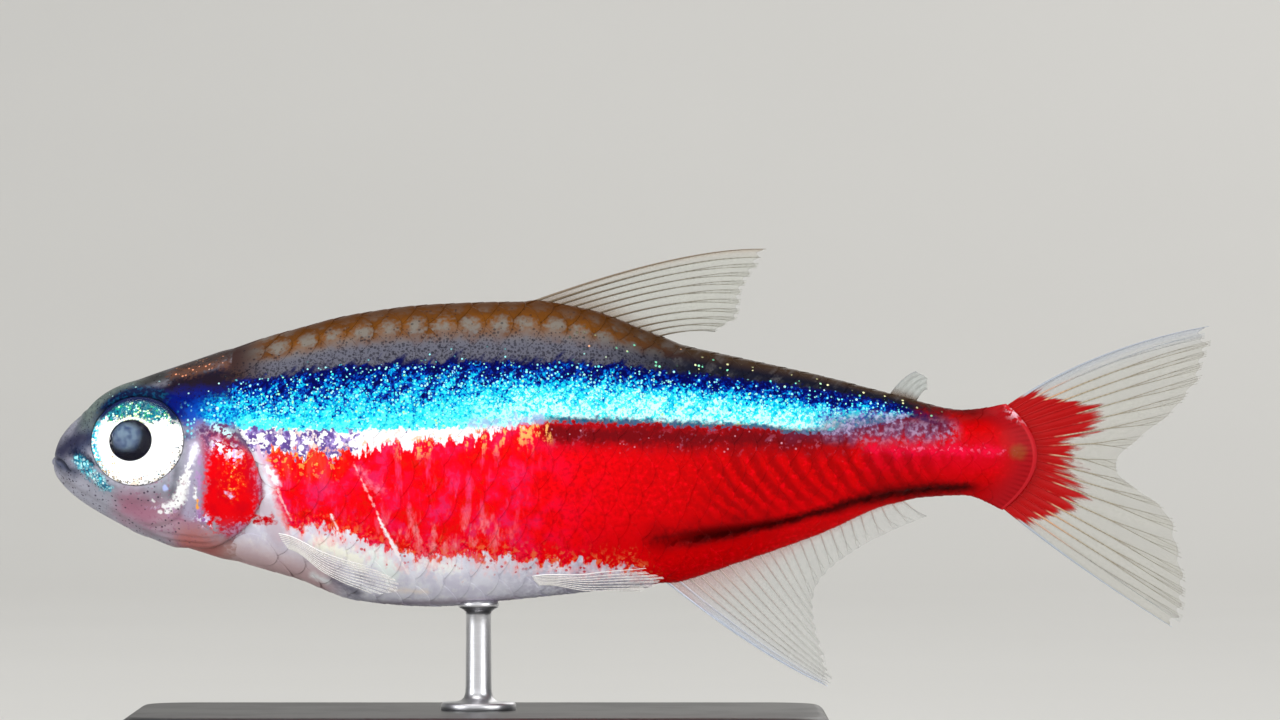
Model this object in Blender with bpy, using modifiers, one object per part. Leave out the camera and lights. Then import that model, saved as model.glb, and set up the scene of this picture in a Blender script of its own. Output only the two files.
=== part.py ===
"""Life-size still model of a cardinal tetra, held over a flat base by one short rod.

The head points to -X, the fish's left side to -Y, and +Z is up. Sizes below are millimetres in the
fish's own frame: x runs back from the tip of the lower jaw, y is across, and z is measured from the
body axis. An empty carries that frame at its height over the floor, and meshes are in metres.
"""

import math

import bmesh
import bpy
import numpy as np
from mathutils import Vector

# Driving dimensions
MM = 0.001
TOTAL_LENGTH = 46.2
GAP = 0.3
BASE_SIZE = (28.0, 17.0, 3.0)
BASE_CORNER = 2.4
BASE_BEVEL = 0.5
LOWEST_FIN = -9.45
FIN_CLEARANCE = 0.95
AXIS_HEIGHT = BASE_SIZE[2] + FIN_CLEARANCE - LOWEST_FIN

# Body sections from snout to tail base: top line x and z, belly line x and z, half width, and how far
# the middle of the section bows back
BODY_SECTIONS = (
    (0.05, -0.26, 0.00, -0.60, 0.20, 0.0),
    (0.12, 0.10, 0.04, -0.84, 0.50, 0.0),
    (0.40, 0.66, 0.26, -1.24, 0.88, 0.0),
    (1.20, 1.46, 1.10, -2.03, 1.36, 0.0),
    (2.20, 2.24, 2.20, -2.68, 1.76, 0.0),
    (3.60, 2.88, 3.60, -3.34, 2.12, 0.0),
    (5.30, 3.47, 5.30, -3.98, 2.42, 0.0),
    (7.40, 4.18, 7.40, -4.53, 2.66, 0.0),
    (9.60, 4.84, 9.60, -5.12, 2.80, 0.0),
    (12.20, 5.48, 12.20, -6.05, 2.88, 0.0),
    (15.20, 5.85, 15.20, -6.28, 2.80, 0.0),
    (18.40, 5.95, 18.40, -6.00, 2.60, 0.0),
    (21.30, 5.54, 21.30, -5.70, 2.34, 0.0),
    (24.40, 4.42, 24.40, -5.32, 2.02, 0.0),
    (27.50, 3.70, 27.50, -4.38, 1.68, 0.0),
    (30.60, 3.02, 30.60, -3.28, 1.35, 0.0),
    (33.80, 2.20, 33.80, -2.02, 1.06, 0.1),
    (36.40, 1.63, 36.40, -1.83, 0.80, 0.4),
    (38.10, 1.85, 37.95, -2.40, 0.27, 1.3),
)
STATIONS = 46
STATION_CROWDING = 1.5
SIDE_STEPS = 15
SLIM_LIMIT = 0.6
BACK_ROUNDNESS = 0.92
BELLY_ROUNDNESS = 1.08

# Lines that divide the body, x and z
MOUTH_LINE = ((0.03, -0.30), (0.14, -0.32), (0.32, -0.38), (0.52, -0.54), (0.78, -0.92))
JAW_LINE = ((1.70, -1.75), (2.55, -2.30), (2.95, -3.00), (3.00, -4.60))
GILL_LINE = (
    (7.15, 6.00), (7.20, 2.60), (7.45, 1.00), (8.05, -0.20), (8.40, -1.50),
    (8.10, -2.60), (7.30, -3.40), (6.50, -4.10), (6.05, -6.00),
)
COVER_FRONT = ((6.90, 1.15), (6.25, 0.85), (5.85, -0.40), (5.62, -1.80), (5.75, -2.90), (6.35, -3.55))
COVER_REAR = ((7.05, -3.33), (7.95, -2.50), (8.25, -1.50), (7.90, -0.25), (7.35, 0.85))
COVER_THICKNESS = 0.50
COVER_RISE = 0.10
TAIL_LINE = ((35.40, 4.00), (35.60, 0.80), (35.60, -0.80), (35.30, -4.00))
GILL_STEPS = 25
COVER_STEPS = 36
JAW_STEPS = 13
TAIL_STEPS = 7

# How far cutters reach past the body
REACH = 8.0
AHEAD = -2.0
BEHIND = 42.0
COVER_INNER_SIDE = 0.4

# Lips, nostrils and eyes
LIP_RADIUS = 0.30
LIP_SINK = 0.19
LIP_END_SINK = 0.38
LIP_STEPS = 8
NOSTRILS = ((1.38, 1.34, 0.15), (1.72, 1.42, 0.19))
EYE_CENTRE = (3.32, 0.39)
EYE_RADIUS = 1.82
EYE_DEPTH = 1.15
CORNEA_HEIGHT = 0.42
EYE_PLANE = 1.80
EYE_YAW = 14.0
EYE_PITCH = 9.0
PUPIL_RADIUS = 0.84
LENS_RISE = 0.06
EYE_GAP = 0.26
EYE_SIDES = 24
SOCKET_SIDES = 28
SOCKET_MOUTH = 2.0
SIDES = ((-1, "left"), (1, "right"))

# Fin membranes
FIN_THICKNESS = 0.50
TIP_THICKNESS = 0.32
RAY_RISE = 0.08
NOTCH = 0.03
PAIRED_NOTCH = 0.04
PAIRED_ROWS = 6

# Median fins: place across the fin, where the ray leaves the body, its bend x and z, its tip x and z
DORSAL_RAYS = 11
DORSAL_GUIDES = (
    (0.00, 19.00, 25.20, 8.12, 28.50, 8.04),
    (0.25, 20.25, 25.20, 7.30, 28.00, 7.20),
    (0.50, 21.60, 25.20, 6.55, 27.60, 6.30),
    (0.75, 22.90, 25.30, 5.60, 27.35, 5.38),
    (1.00, 24.00, 25.30, 4.90, 26.50, 4.72),
)
ANAL_RAYS = 24
ANAL_ROOT = (24.50, 33.90)
ANAL_GUIDES = (
    (0.00, 28.40, -8.35, 31.00, -9.45),
    (0.15, 28.70, -7.60, 31.06, -9.15),
    (0.30, 29.20, -6.75, 30.90, -8.30),
    (0.40, 29.50, -5.95, 30.50, -7.10),
    (0.50, 29.85, -5.20, 30.35, -6.10),
    (0.60, 30.50, -4.45, 30.80, -5.05),
    (0.70, 31.35, -3.95, 31.60, -4.35),
    (0.80, 32.20, -3.50, 32.40, -3.80),
    (0.90, 33.20, -3.00, 33.60, -3.20),
    (1.00, 34.40, -2.45, 34.95, -2.65),
)
CAUDAL_RAYS = 19
CAUDAL_GUIDES = (
    (0.00, 1.72, 41.50, 4.10, 46.20, 4.95),
    (0.20, 1.15, 42.50, 2.60, 46.10, 3.60),
    (0.35, 0.55, 42.30, 1.20, 45.20, 1.90),
    (0.50, -0.12, 41.20, -0.30, 42.55, -0.64),
    (0.65, -0.85, 42.00, -1.90, 44.70, -2.70),
    (0.80, -1.60, 42.00, -3.50, 45.35, -5.40),
    (1.00, -2.28, 40.90, -4.70, 44.85, -7.15),
)
ADIPOSE_RAYS = 5
ADIPOSE_GUIDES = (
    (0.00, 33.45, 33.95, 2.95, 34.50, 3.16),
    (0.50, 34.00, 34.45, 2.80, 34.95, 2.85),
    (1.00, 34.50, 34.75, 2.45, 34.95, 2.42),
)

# Paired fins lie over the body: x and girth angle in degrees at the root, at the bend and at the tip
PECTORAL_RAYS = 10
PECTORAL_FLARE = 0.9
PECTORAL_GUIDES = (
    (0.00, 9.20, -41.0, 11.20, -40.0, 12.90, -41.5),
    (0.35, 9.32, -44.5, 11.50, -44.5, 13.80, -47.5),
    (0.60, 9.42, -47.0, 11.50, -48.0, 13.90, -51.5),
    (1.00, 9.55, -50.0, 11.30, -52.0, 12.90, -55.0),
)
PELVIC_RAYS = 8
PELVIC_FLARE = 0.25
PELVIC_GUIDES = (
    (0.00, 19.30, -58.0, 21.60, -54.0, 23.60, -52.0),
    (0.50, 19.42, -62.0, 22.00, -61.0, 24.30, -62.0),
    (1.00, 19.55, -66.0, 21.80, -68.0, 23.40, -70.0),
)

# Stand
ROD_X = 17.0
ROD_RADIUS = 0.52
FOOT_RADIUS = 1.5
FOOT_HEIGHT = 0.6
ROD_SIDES = 20
ROD_SPARE = 1.0

COLOURS = {
    "head": ((0.30, 0.27, 0.28), 0.35, 0.0),
    "lower_jaw": ((0.42, 0.36, 0.36), 0.35, 0.0),
    "gill_cover": ((0.55, 0.03, 0.05), 0.30, 0.1),
    "eye": ((0.78, 0.80, 0.82), 0.12, 0.3),
    "trunk": ((0.62, 0.05, 0.07), 0.32, 0.1),
    "tail": ((0.50, 0.03, 0.05), 0.32, 0.1),
    "fin": ((0.62, 0.66, 0.60), 0.30, 0.0),
    "stand_rod": ((0.60, 0.60, 0.62), 0.28, 1.0),
    "stand_base": ((0.03, 0.03, 0.035), 0.45, 0.0),
}


def clear_scene():
    """Empty the scene of whatever it holds."""
    for item in list(bpy.data.objects):
        bpy.data.objects.remove(item, do_unlink=True)


def make_collection(name):
    """A new collection in the scene."""
    collection = bpy.data.collections.new(name)
    bpy.context.scene.collection.children.link(collection)
    return collection


def smooth(xs, ys, at):
    """Read a smooth curve through the given values that never overshoots them."""
    xs = np.asarray(xs, float)
    ys = np.asarray(ys, float)
    steps = np.diff(xs)
    slopes = np.diff(ys) / steps
    tangents = np.concatenate(([slopes[0]], np.zeros(len(xs) - 2), [slopes[-1]]))
    for i in range(1, len(xs) - 1):
        if slopes[i - 1] * slopes[i] > 0:
            before = 2 * steps[i] + steps[i - 1]
            after = steps[i] + 2 * steps[i - 1]
            tangents[i] = (before + after) / (before / slopes[i - 1] + after / slopes[i])
    at = np.clip(np.asarray(at, float), xs[0], xs[-1])
    cell = np.clip(np.searchsorted(xs, at, side="right") - 1, 0, len(steps) - 1)
    t = (at - xs[cell]) / steps[cell]
    width = steps[cell]
    return (
        (1 + 2 * t) * (1 - t) ** 2 * ys[cell]
        + t * (1 - t) ** 2 * width * tangents[cell]
        + t * t * (3 - 2 * t) * ys[cell + 1]
        + t * t * (t - 1) * width * tangents[cell + 1]
    )


def smooth_line(points, count):
    """Evenly numbered points along a smooth line through the given ones."""
    points = np.asarray(points, float)
    knots = np.concatenate(([0.0], np.cumsum(np.linalg.norm(np.diff(points, axis=0), axis=1))))
    at = np.linspace(0, knots[-1], count)
    return np.stack([smooth(knots, points[:, axis], at) for axis in range(points.shape[1])], axis=1)


SECTION_TABLE = np.array(BODY_SECTIONS)
SECTION_PLACES = (SECTION_TABLE[:, 0] + SECTION_TABLE[:, 2]) / 2


def body_point(place, angle, grow=0.0):
    """Skin point at a place along the body and a girth angle, -90 under the belly and 90 on the back."""
    x_top, z_top, x_belly, z_belly, half_width, bow = (
        float(smooth(SECTION_PLACES, SECTION_TABLE[:, column], place)) for column in range(6)
    )
    grow = max(grow, -SLIM_LIMIT * half_width)
    level = math.sin(math.radians(angle))
    share = (level + 1) / 2
    roundness = BACK_ROUNDNESS if level > 0 else BELLY_ROUNDNESS
    across = (half_width + grow) * max(0.0, math.cos(math.radians(angle))) ** roundness
    x = x_belly + (x_top - x_belly) * share + bow * (1 - level * level)
    z = (z_belly - grow) + (z_top - z_belly + 2 * grow) * share
    return Vector((x, across, z))


def body_normal(place, angle):
    """Outward direction of the skin there, on the side of +y."""
    step = 0.2
    along = body_point(place + step, angle) - body_point(place - step, angle)
    around = body_point(place, angle + 5 * step) - body_point(place, angle - 5 * step)
    return around.cross(along).normalized()


def top_line(x):
    """Height of the back over the axis."""
    return float(smooth(SECTION_TABLE[:, 0], SECTION_TABLE[:, 1], x))


def belly_line(x):
    """Height of the belly under the axis, negative."""
    return float(smooth(SECTION_TABLE[:, 2], SECTION_TABLE[:, 3], x))


def side_point(x, z):
    """Skin point on the side of +y that is seen at x, z from the side."""
    place = x
    angle = 0.0
    for _ in range(12):
        low, high = body_point(place, -90).z, body_point(place, 90).z
        level = min(0.98, max(-0.98, 2 * (z - low) / (high - low) - 1))
        angle = math.degrees(math.asin(level))
        place = max(SECTION_PLACES[0], place + x - body_point(place, angle).x)
    return body_point(place, angle)


def new_mesh(name, vertices, faces):
    """Mesh in metres from millimetre points, with its faces turned outwards."""
    mesh = bpy.data.meshes.new(name)
    mesh.from_pydata([Vector(v) * MM for v in vertices], [], faces)
    shape = bmesh.new()
    shape.from_mesh(mesh)
    bmesh.ops.recalc_face_normals(shape, faces=shape.faces)
    shape.to_mesh(mesh)
    shape.free()
    return mesh


def body_mesh(name, grow=0.0):
    """Closed loft of the whole body, or of the same body grown or shrunk all round."""
    spread = np.linspace(0, 1, STATIONS) ** STATION_CROWDING
    places = SECTION_PLACES[0] + (SECTION_PLACES[-1] - SECTION_PLACES[0]) * spread
    angles = np.linspace(-90, 90, SIDE_STEPS + 1)
    ring_size = 2 * SIDE_STEPS
    vertices = []
    for place in places:
        near = [body_point(place, angle, grow) for angle in angles]
        far = [Vector((p.x, -p.y, p.z)) for p in near[-2:0:-1]]
        vertices += near + far
    faces = []
    for row in range(STATIONS - 1):
        for step in range(ring_size):
            a = row * ring_size + step
            b = row * ring_size + (step + 1) % ring_size
            faces.append((a, b, b + ring_size, a + ring_size))
    for first in (0, (STATIONS - 1) * ring_size):
        for step in range(SIDE_STEPS):
            left_edge = (first + step, first + step + 1)
            right_edge = tuple(first + (ring_size - step - k) % ring_size for k in (1, 0))
            faces.append(tuple(dict.fromkeys(left_edge + right_edge)))
    return new_mesh(name, vertices, faces)


def prism_mesh(name, outline, y_near, y_far):
    """Flat outline in x and z, extruded across the body."""
    shape = bmesh.new()
    ring = [shape.verts.new(Vector((x, y_near, z)) * MM) for x, z in outline]
    face = shape.faces.new(ring)
    made = bmesh.ops.extrude_face_region(shape, geom=[face])
    moved = [item for item in made["geom"] if isinstance(item, bmesh.types.BMVert)]
    bmesh.ops.translate(shape, verts=moved, vec=Vector((0, (y_far - y_near) * MM, 0)))
    bmesh.ops.recalc_face_normals(shape, faces=shape.faces)
    bmesh.ops.triangulate(shape, faces=shape.faces)
    mesh = bpy.data.meshes.new(name)
    shape.to_mesh(mesh)
    shape.free()
    return mesh


def shifted(line, distance):
    """The same line moved sideways, to its left as it runs for a positive distance."""
    line = np.asarray(line, float)
    run = np.gradient(line, axis=0)
    run /= np.linalg.norm(run, axis=1)[:, None]
    return line + distance * np.stack((-run[:, 1], run[:, 0]), axis=1)


def grown_outline(outline, distance):
    """A closed outline pushed out along its own normals."""
    outline = np.asarray(outline, float)
    run = np.roll(outline, -1, axis=0) - np.roll(outline, 1, axis=0)
    run /= np.linalg.norm(run, axis=1)[:, None]
    out = np.stack((run[:, 1], -run[:, 0]), axis=1)
    area = np.sum(outline[:, 0] * np.roll(outline[:, 1], -1) - outline[:, 1] * np.roll(outline[:, 0], -1))
    return outline + distance * out * (1 if area > 0 else -1)


def place_object(name, mesh, collection, frame):
    """Object in the given frame and collection."""
    item = bpy.data.objects.new(name, mesh)
    item.parent = frame
    collection.objects.link(item)
    return item


def make_cutter(name, mesh, cutters, frame):
    """Object that only cuts or joins others."""
    cutter = place_object(name, mesh, cutters, frame)
    cutter.hide_render = True
    cutter.display_type = "WIRE"
    return cutter


def keep_largest(mesh):
    """Leave only the closed piece with the largest volume."""
    shape = bmesh.new()
    shape.from_mesh(mesh)
    bmesh.ops.triangulate(shape, faces=shape.faces)
    pieces = []
    waiting = set(shape.verts)
    while waiting:
        reached = {waiting.pop()}
        edge_of_search = list(reached)
        while edge_of_search:
            vertex = edge_of_search.pop()
            for edge in vertex.link_edges:
                other = edge.other_vert(vertex)
                if other not in reached:
                    reached.add(other)
                    edge_of_search.append(other)
        waiting -= reached
        volume = 0.0
        for face in {face for vertex in reached for face in vertex.link_faces}:
            a, b, c = (corner.co for corner in face.verts)
            volume += a.dot(b.cross(c)) / 6
        pieces.append((volume, reached))
    pieces.sort(key=lambda piece: piece[0], reverse=True)
    for _, reached in pieces[1:]:
        bmesh.ops.delete(shape, geom=list(reached), context="VERTS")
    shape.to_mesh(mesh)
    shape.free()


def carved_mesh(source, operations):
    """Mesh of the source object after the given Boolean operations, as its largest piece."""
    for operation, cutter in operations:
        step = source.modifiers.new(cutter.name, "BOOLEAN")
        step.operation = operation
        step.solver = "EXACT"
        step.object = cutter
    bpy.context.view_layer.update()
    evaluated = source.evaluated_get(bpy.context.evaluated_depsgraph_get())
    mesh = bpy.data.meshes.new_from_object(evaluated)
    source.modifiers.clear()
    keep_largest(mesh)
    return mesh


def fin_mesh(name, surface, rays, rows, notch=0.0, rise=RAY_RISE, thickness=FIN_THICKNESS):
    """Closed fin on a mid surface: a ridge for each ray and valleys between, alike on both faces."""
    columns = 2 * rays - 1
    middle = np.empty((columns, rows + 1, 3))
    for i in range(columns):
        reach = 1.0 - (notch if i % 2 else 0.0)
        for j in range(rows + 1):
            middle[i, j] = surface(i / (columns - 1), reach * j / rows)
    across = np.gradient(middle, axis=0)
    along = np.gradient(middle, axis=1)
    normal = np.cross(across, along)
    normal /= np.linalg.norm(normal, axis=2)[:, :, None]
    fade = np.linspace(0, 1, rows + 1)
    half = (thickness + (TIP_THICKNESS - thickness) * fade**1.5) / 2
    ridge = np.where(np.arange(columns) % 2 == 0, rise, 0.0)
    offset = half[None, :] + ridge[:, None] * (1 - 0.7 * fade[None, :] ** 2)
    faces_of_fin = [middle + normal * offset[:, :, None], middle - normal * offset[:, :, None]]
    vertices = np.concatenate([face.reshape(-1, 3) for face in faces_of_fin])
    width = rows + 1
    back = columns * width
    triangles = []
    for i in range(columns - 1):
        for j in range(rows):
            a = i * width + j
            b, c, d = a + width, a + width + 1, a + 1
            triangles += [(a, b, c), (a, c, d)]
            triangles += [(back + a, back + c, back + b), (back + a, back + d, back + c)]
    rim = [i * width for i in range(columns)]
    rim += [(columns - 1) * width + j for j in range(1, width)]
    rim += [i * width + rows for i in range(columns - 2, -1, -1)]
    rim += [j for j in range(rows - 1, 0, -1)]
    for a, b in zip(rim, rim[1:] + rim[:1]):
        triangles += [(a, back + a, back + b), (a, back + b, b)]
    return new_mesh(name, vertices, triangles)


def bent(root, bend, tip, along):
    """Point on a curved ray between its root and its tip."""
    keep = 1 - along
    return keep * keep * root + 2 * keep * along * bend + along * along * tip


def median_surface(guides, root_of):
    """Mid surface of a fin in the fish's plane of symmetry."""
    table = np.array(guides, float)

    def surface(across, along):
        start, bend_x, bend_z, tip_x, tip_z = (
            float(smooth(table[:, 0], table[:, column], across)) for column in range(1, 6)
        )
        root = root_of(start)
        x, z = bent(np.array(root), np.array((bend_x, bend_z)), np.array((tip_x, tip_z)), along)
        return (x, 0.0, z)

    return surface


def paired_surface(guides, flare, side):
    """Mid surface of a fin that lies over the body and stands off towards its tip."""
    table = np.array(guides, float)

    def surface(across, along):
        values = [float(smooth(table[:, 0], table[:, column], across)) for column in range(1, 7)]
        root, bend, tip = (np.array(values[k:k + 2]) for k in (0, 2, 4))
        place, angle = bent(root, bend, tip, along)
        lift = GAP + FIN_THICKNESS / 2 + RAY_RISE + flare * along**1.6
        point = body_point(place, angle) + body_normal(place, angle) * lift
        return (point.x, side * point.y, point.z)

    return surface


def tail_end(z):
    """Where a ray of the tail fin starts at height z, a gap behind the tail's bowed end."""
    x_top, z_top, x_belly, z_belly, _, bow = BODY_SECTIONS[-1]
    share = (z - z_belly) / (z_top - z_belly)
    level = 2 * share - 1
    return (x_belly + (x_top - x_belly) * share + bow * (1 - level * level) + GAP, z)


def eye_direction(side):
    """Way that the eye looks: out, a little forward and a little up."""
    yaw, pitch = math.radians(EYE_YAW), math.radians(EYE_PITCH)
    flat = math.cos(pitch)
    return Vector((-math.sin(yaw) * flat, side * math.cos(yaw) * flat, math.sin(pitch)))


def eye_profile():
    """Half outline of the eye from the middle of the cornea to its back, radius and height."""
    outline = [(0.0, CORNEA_HEIGHT + LENS_RISE)]
    for share in (0.35, 0.7, 0.93):
        radius = PUPIL_RADIUS * share
        outline.append((radius, eye_dome(radius) + LENS_RISE * math.sqrt(1 - share**4)))
    for radius in (PUPIL_RADIUS * 1.04, 1.2, 1.5, 1.68):
        outline.append((radius, eye_dome(radius)))
    for turn in range(0, 90, 18):
        angle = math.radians(turn)
        outline.append((EYE_RADIUS * math.cos(angle), -EYE_DEPTH * math.sin(angle)))
    outline.append((0.0, -EYE_DEPTH))
    return outline


def eye_dome(radius):
    """Height of the cornea over the eye's rim."""
    return CORNEA_HEIGHT * math.sqrt(max(0.0, 1 - (radius / EYE_RADIUS) ** 2))


def socket_profile():
    """Half outline of the hollow that holds the eye, open on the outside."""
    rim = EYE_RADIUS + EYE_GAP
    outline = [(0.0, SOCKET_MOUTH), (rim, SOCKET_MOUTH), (rim, 0.0)]
    for turn in range(18, 90, 18):
        angle = math.radians(turn)
        outline.append((rim * math.cos(angle), -(EYE_DEPTH + EYE_GAP) * math.sin(angle)))
    outline.append((0.0, -(EYE_DEPTH + EYE_GAP)))
    return outline


def turned_object(name, outline, steps, collection, frame):
    """Outline of radius and height, turned about Z with a Screw modifier."""
    mesh = bpy.data.meshes.new(name)
    points = [Vector((radius, 0, height)) * MM for radius, height in outline]
    mesh.from_pydata(points, [(i, i + 1) for i in range(len(points) - 1)], [])
    item = place_object(name, mesh, collection, frame)
    screw = item.modifiers.new("turn", "SCREW")
    screw.steps = steps
    screw.render_steps = steps
    screw.use_merge_vertices = True
    screw.merge_threshold = 2e-6
    return item


def set_in_eye_place(item, side):
    """Put a turned piece where the eye sits, with its axis along the gaze."""
    item.location = Vector((EYE_CENTRE[0], side * EYE_PLANE, EYE_CENTRE[1])) * MM
    item.rotation_mode = "QUATERNION"
    item.rotation_quaternion = eye_direction(side).to_track_quat("Z", "Y")


def tube_mesh(name, path, radius, collection, frame):
    """Round tube along a path, as a closed mesh."""
    curve = bpy.data.curves.new(name, "CURVE")
    curve.dimensions = "3D"
    curve.bevel_depth = radius * MM
    curve.bevel_resolution = 2
    curve.use_fill_caps = True
    spline = curve.splines.new("POLY")
    spline.points.add(len(path) - 1)
    for point, place in zip(spline.points, path):
        point.co = (*(Vector(place) * MM), 1.0)
    item = place_object(name, curve, collection, frame)
    bpy.context.view_layer.update()
    mesh = bpy.data.meshes.new_from_object(item.evaluated_get(bpy.context.evaluated_depsgraph_get()))
    bpy.data.objects.remove(item, do_unlink=True)
    shape = bmesh.new()
    shape.from_mesh(mesh)
    bmesh.ops.remove_doubles(shape, verts=shape.verts, dist=1e-6)
    bmesh.ops.recalc_face_normals(shape, faces=shape.faces)
    shape.to_mesh(mesh)
    shape.free()
    return mesh


def lip_path():
    """Route of the lips round the snout, from one corner of the mouth to the other."""
    line = smooth_line(MOUTH_LINE, LIP_STEPS + 1)
    half = []
    for step, (x, z) in enumerate(line[1:]):
        skin = side_point(x, z)
        share = step / (LIP_STEPS - 1)
        sink = LIP_SINK + (LIP_END_SINK - LIP_SINK) * share**3
        half.append(Vector((skin.x + LIP_SINK * (1 - share), skin.y - sink, skin.z)))
    front = Vector((line[0][0] + LIP_SINK, 0.0, line[0][1]))
    return [Vector((p.x, -p.y, p.z)) for p in reversed(half)] + [front] + half


def nostril_mesh(name, x, z, radius, side):
    """Small oval pit in the side of the snout."""
    shape = bmesh.new()
    bmesh.ops.create_uvsphere(shape, u_segments=10, v_segments=6, radius=radius * MM)
    skin = side_point(x, z)
    place = Vector((skin.x, side * skin.y, skin.z)) * MM
    bmesh.ops.translate(shape, verts=shape.verts, vec=place)
    mesh = bpy.data.meshes.new(name)
    shape.to_mesh(mesh)
    shape.free()
    return mesh


def ahead_of(line):
    """Outline of all that lies in front of a line from back to belly, half a gap short of it."""
    return np.concatenate((((AHEAD, -REACH), (AHEAD, REACH)), shifted(line, -GAP / 2)))


def behind(line):
    """Outline of all that lies behind a line from back to belly, half a gap past it."""
    return np.concatenate((((BEHIND, REACH), (BEHIND, -REACH)), shifted(line, GAP / 2)[::-1]))


def under_mouth(margin):
    """Outline of all that lies under the mouth line and ahead of the jaw line, grown by a margin."""
    line = smooth_line(MOUTH_LINE + JAW_LINE, JAW_STEPS + 1)
    line = np.concatenate(([(AHEAD, MOUTH_LINE[0][1])], line))
    return np.concatenate((shifted(line, margin), ((JAW_LINE[-1][0], -REACH), (AHEAD, -REACH))))


def outline_cutter(name, outline, cutters, frame, side=0):
    """Outline extruded right through the body, or on one side only."""
    near, far = (-REACH, REACH) if side == 0 else sorted((side * COVER_INNER_SIDE, side * REACH))
    return make_cutter(name, prism_mesh(name, outline, near, far), cutters, frame)


def make_gill_covers(parts, cutters, frame):
    """Thin plates lifted a little off the body, and the hollows they leave in the head."""
    line = smooth_line(COVER_FRONT + COVER_REAR + COVER_FRONT[:1], COVER_STEPS + 1)[:-1]
    core = make_cutter("core", body_mesh("core", -COVER_THICKNESS), cutters, frame)
    deep = make_cutter("deep_core", body_mesh("deep_core", -COVER_THICKNESS - GAP), cutters, frame)
    raised = make_cutter("raised_body", body_mesh("raised_body", COVER_RISE), cutters, frame)
    hollows = []
    for side, word in SIDES:
        plate = outline_cutter("plate_" + word, line, cutters, frame, side)
        cover = carved_mesh(raised, [("INTERSECT", plate), ("DIFFERENCE", core)])
        place_object("gill_cover_" + word, cover, parts, frame)
        recess = outline_cutter("recess_" + word, grown_outline(line, GAP), cutters, frame, side)
        hollow = carved_mesh(recess, [("DIFFERENCE", deep)])
        hollows.append(make_cutter("hollow_" + word, hollow, cutters, frame))
    return hollows


def make_head(parts, cutters, frame, body, hollows):
    """Head and lower jaw, with lips, nostrils and the sockets of the eyes."""
    lips = make_cutter("lips", tube_mesh("lips", lip_path(), LIP_RADIUS, cutters, frame), cutters, frame)
    lipped = make_cutter("lipped_body", carved_mesh(body, [("UNION", lips)]), cutters, frame)
    gill = smooth_line(GILL_LINE, GILL_STEPS + 1)
    before_gill = outline_cutter("before_gill", ahead_of(gill), cutters, frame)
    jaw = outline_cutter("jaw", under_mouth(-GAP / 2), cutters, frame)
    jaw_room = outline_cutter("jaw_room", under_mouth(GAP / 2), cutters, frame)
    cuts = [("INTERSECT", before_gill), ("DIFFERENCE", jaw_room)]
    cuts += [("DIFFERENCE", hollow) for hollow in hollows]
    for side, word in SIDES:
        socket = turned_object("socket_" + word, socket_profile(), SOCKET_SIDES, cutters, frame)
        set_in_eye_place(socket, side)
        socket.hide_render = True
        socket.display_type = "WIRE"
        cuts.append(("DIFFERENCE", socket))
        for number, (x, z, radius) in enumerate(NOSTRILS):
            name = f"nostril_{word}_{number}"
            pit = make_cutter(name, nostril_mesh(name, x, z, radius, side), cutters, frame)
            cuts.append(("DIFFERENCE", pit))
    place_object("head", carved_mesh(lipped, cuts), parts, frame)
    place_object("lower_jaw", carved_mesh(lipped, [("INTERSECT", jaw)]), parts, frame)


def make_trunk_and_tail(parts, cutters, frame, body):
    """Trunk from the gill opening back, and the tail's stalk behind it."""
    gill = smooth_line(GILL_LINE, GILL_STEPS + 1)
    tail_line = smooth_line(TAIL_LINE, TAIL_STEPS + 1)
    behind_gill = outline_cutter("behind_gill", behind(gill), cutters, frame)
    before_tail = outline_cutter("before_tail", ahead_of(tail_line), cutters, frame)
    behind_tail = outline_cutter("behind_tail", behind(tail_line), cutters, frame)
    trunk = carved_mesh(body, [("INTERSECT", behind_gill), ("INTERSECT", before_tail)])
    place_object("trunk", trunk, parts, frame)
    place_object("tail", carved_mesh(body, [("INTERSECT", behind_tail)]), parts, frame)


def make_flesh(parts, cutters, frame):
    """All that is cut from one body."""
    body = make_cutter("whole_body", body_mesh("whole_body"), cutters, frame)
    hollows = make_gill_covers(parts, cutters, frame)
    make_head(parts, cutters, frame, body, hollows)
    make_trunk_and_tail(parts, cutters, frame, body)


def make_eyes(parts, frame):
    """Both eyes, flat balls with a low cornea and the lens raised in its middle."""
    for side, word in SIDES:
        set_in_eye_place(turned_object("eye_" + word, eye_profile(), EYE_SIDES, parts, frame), side)


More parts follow.
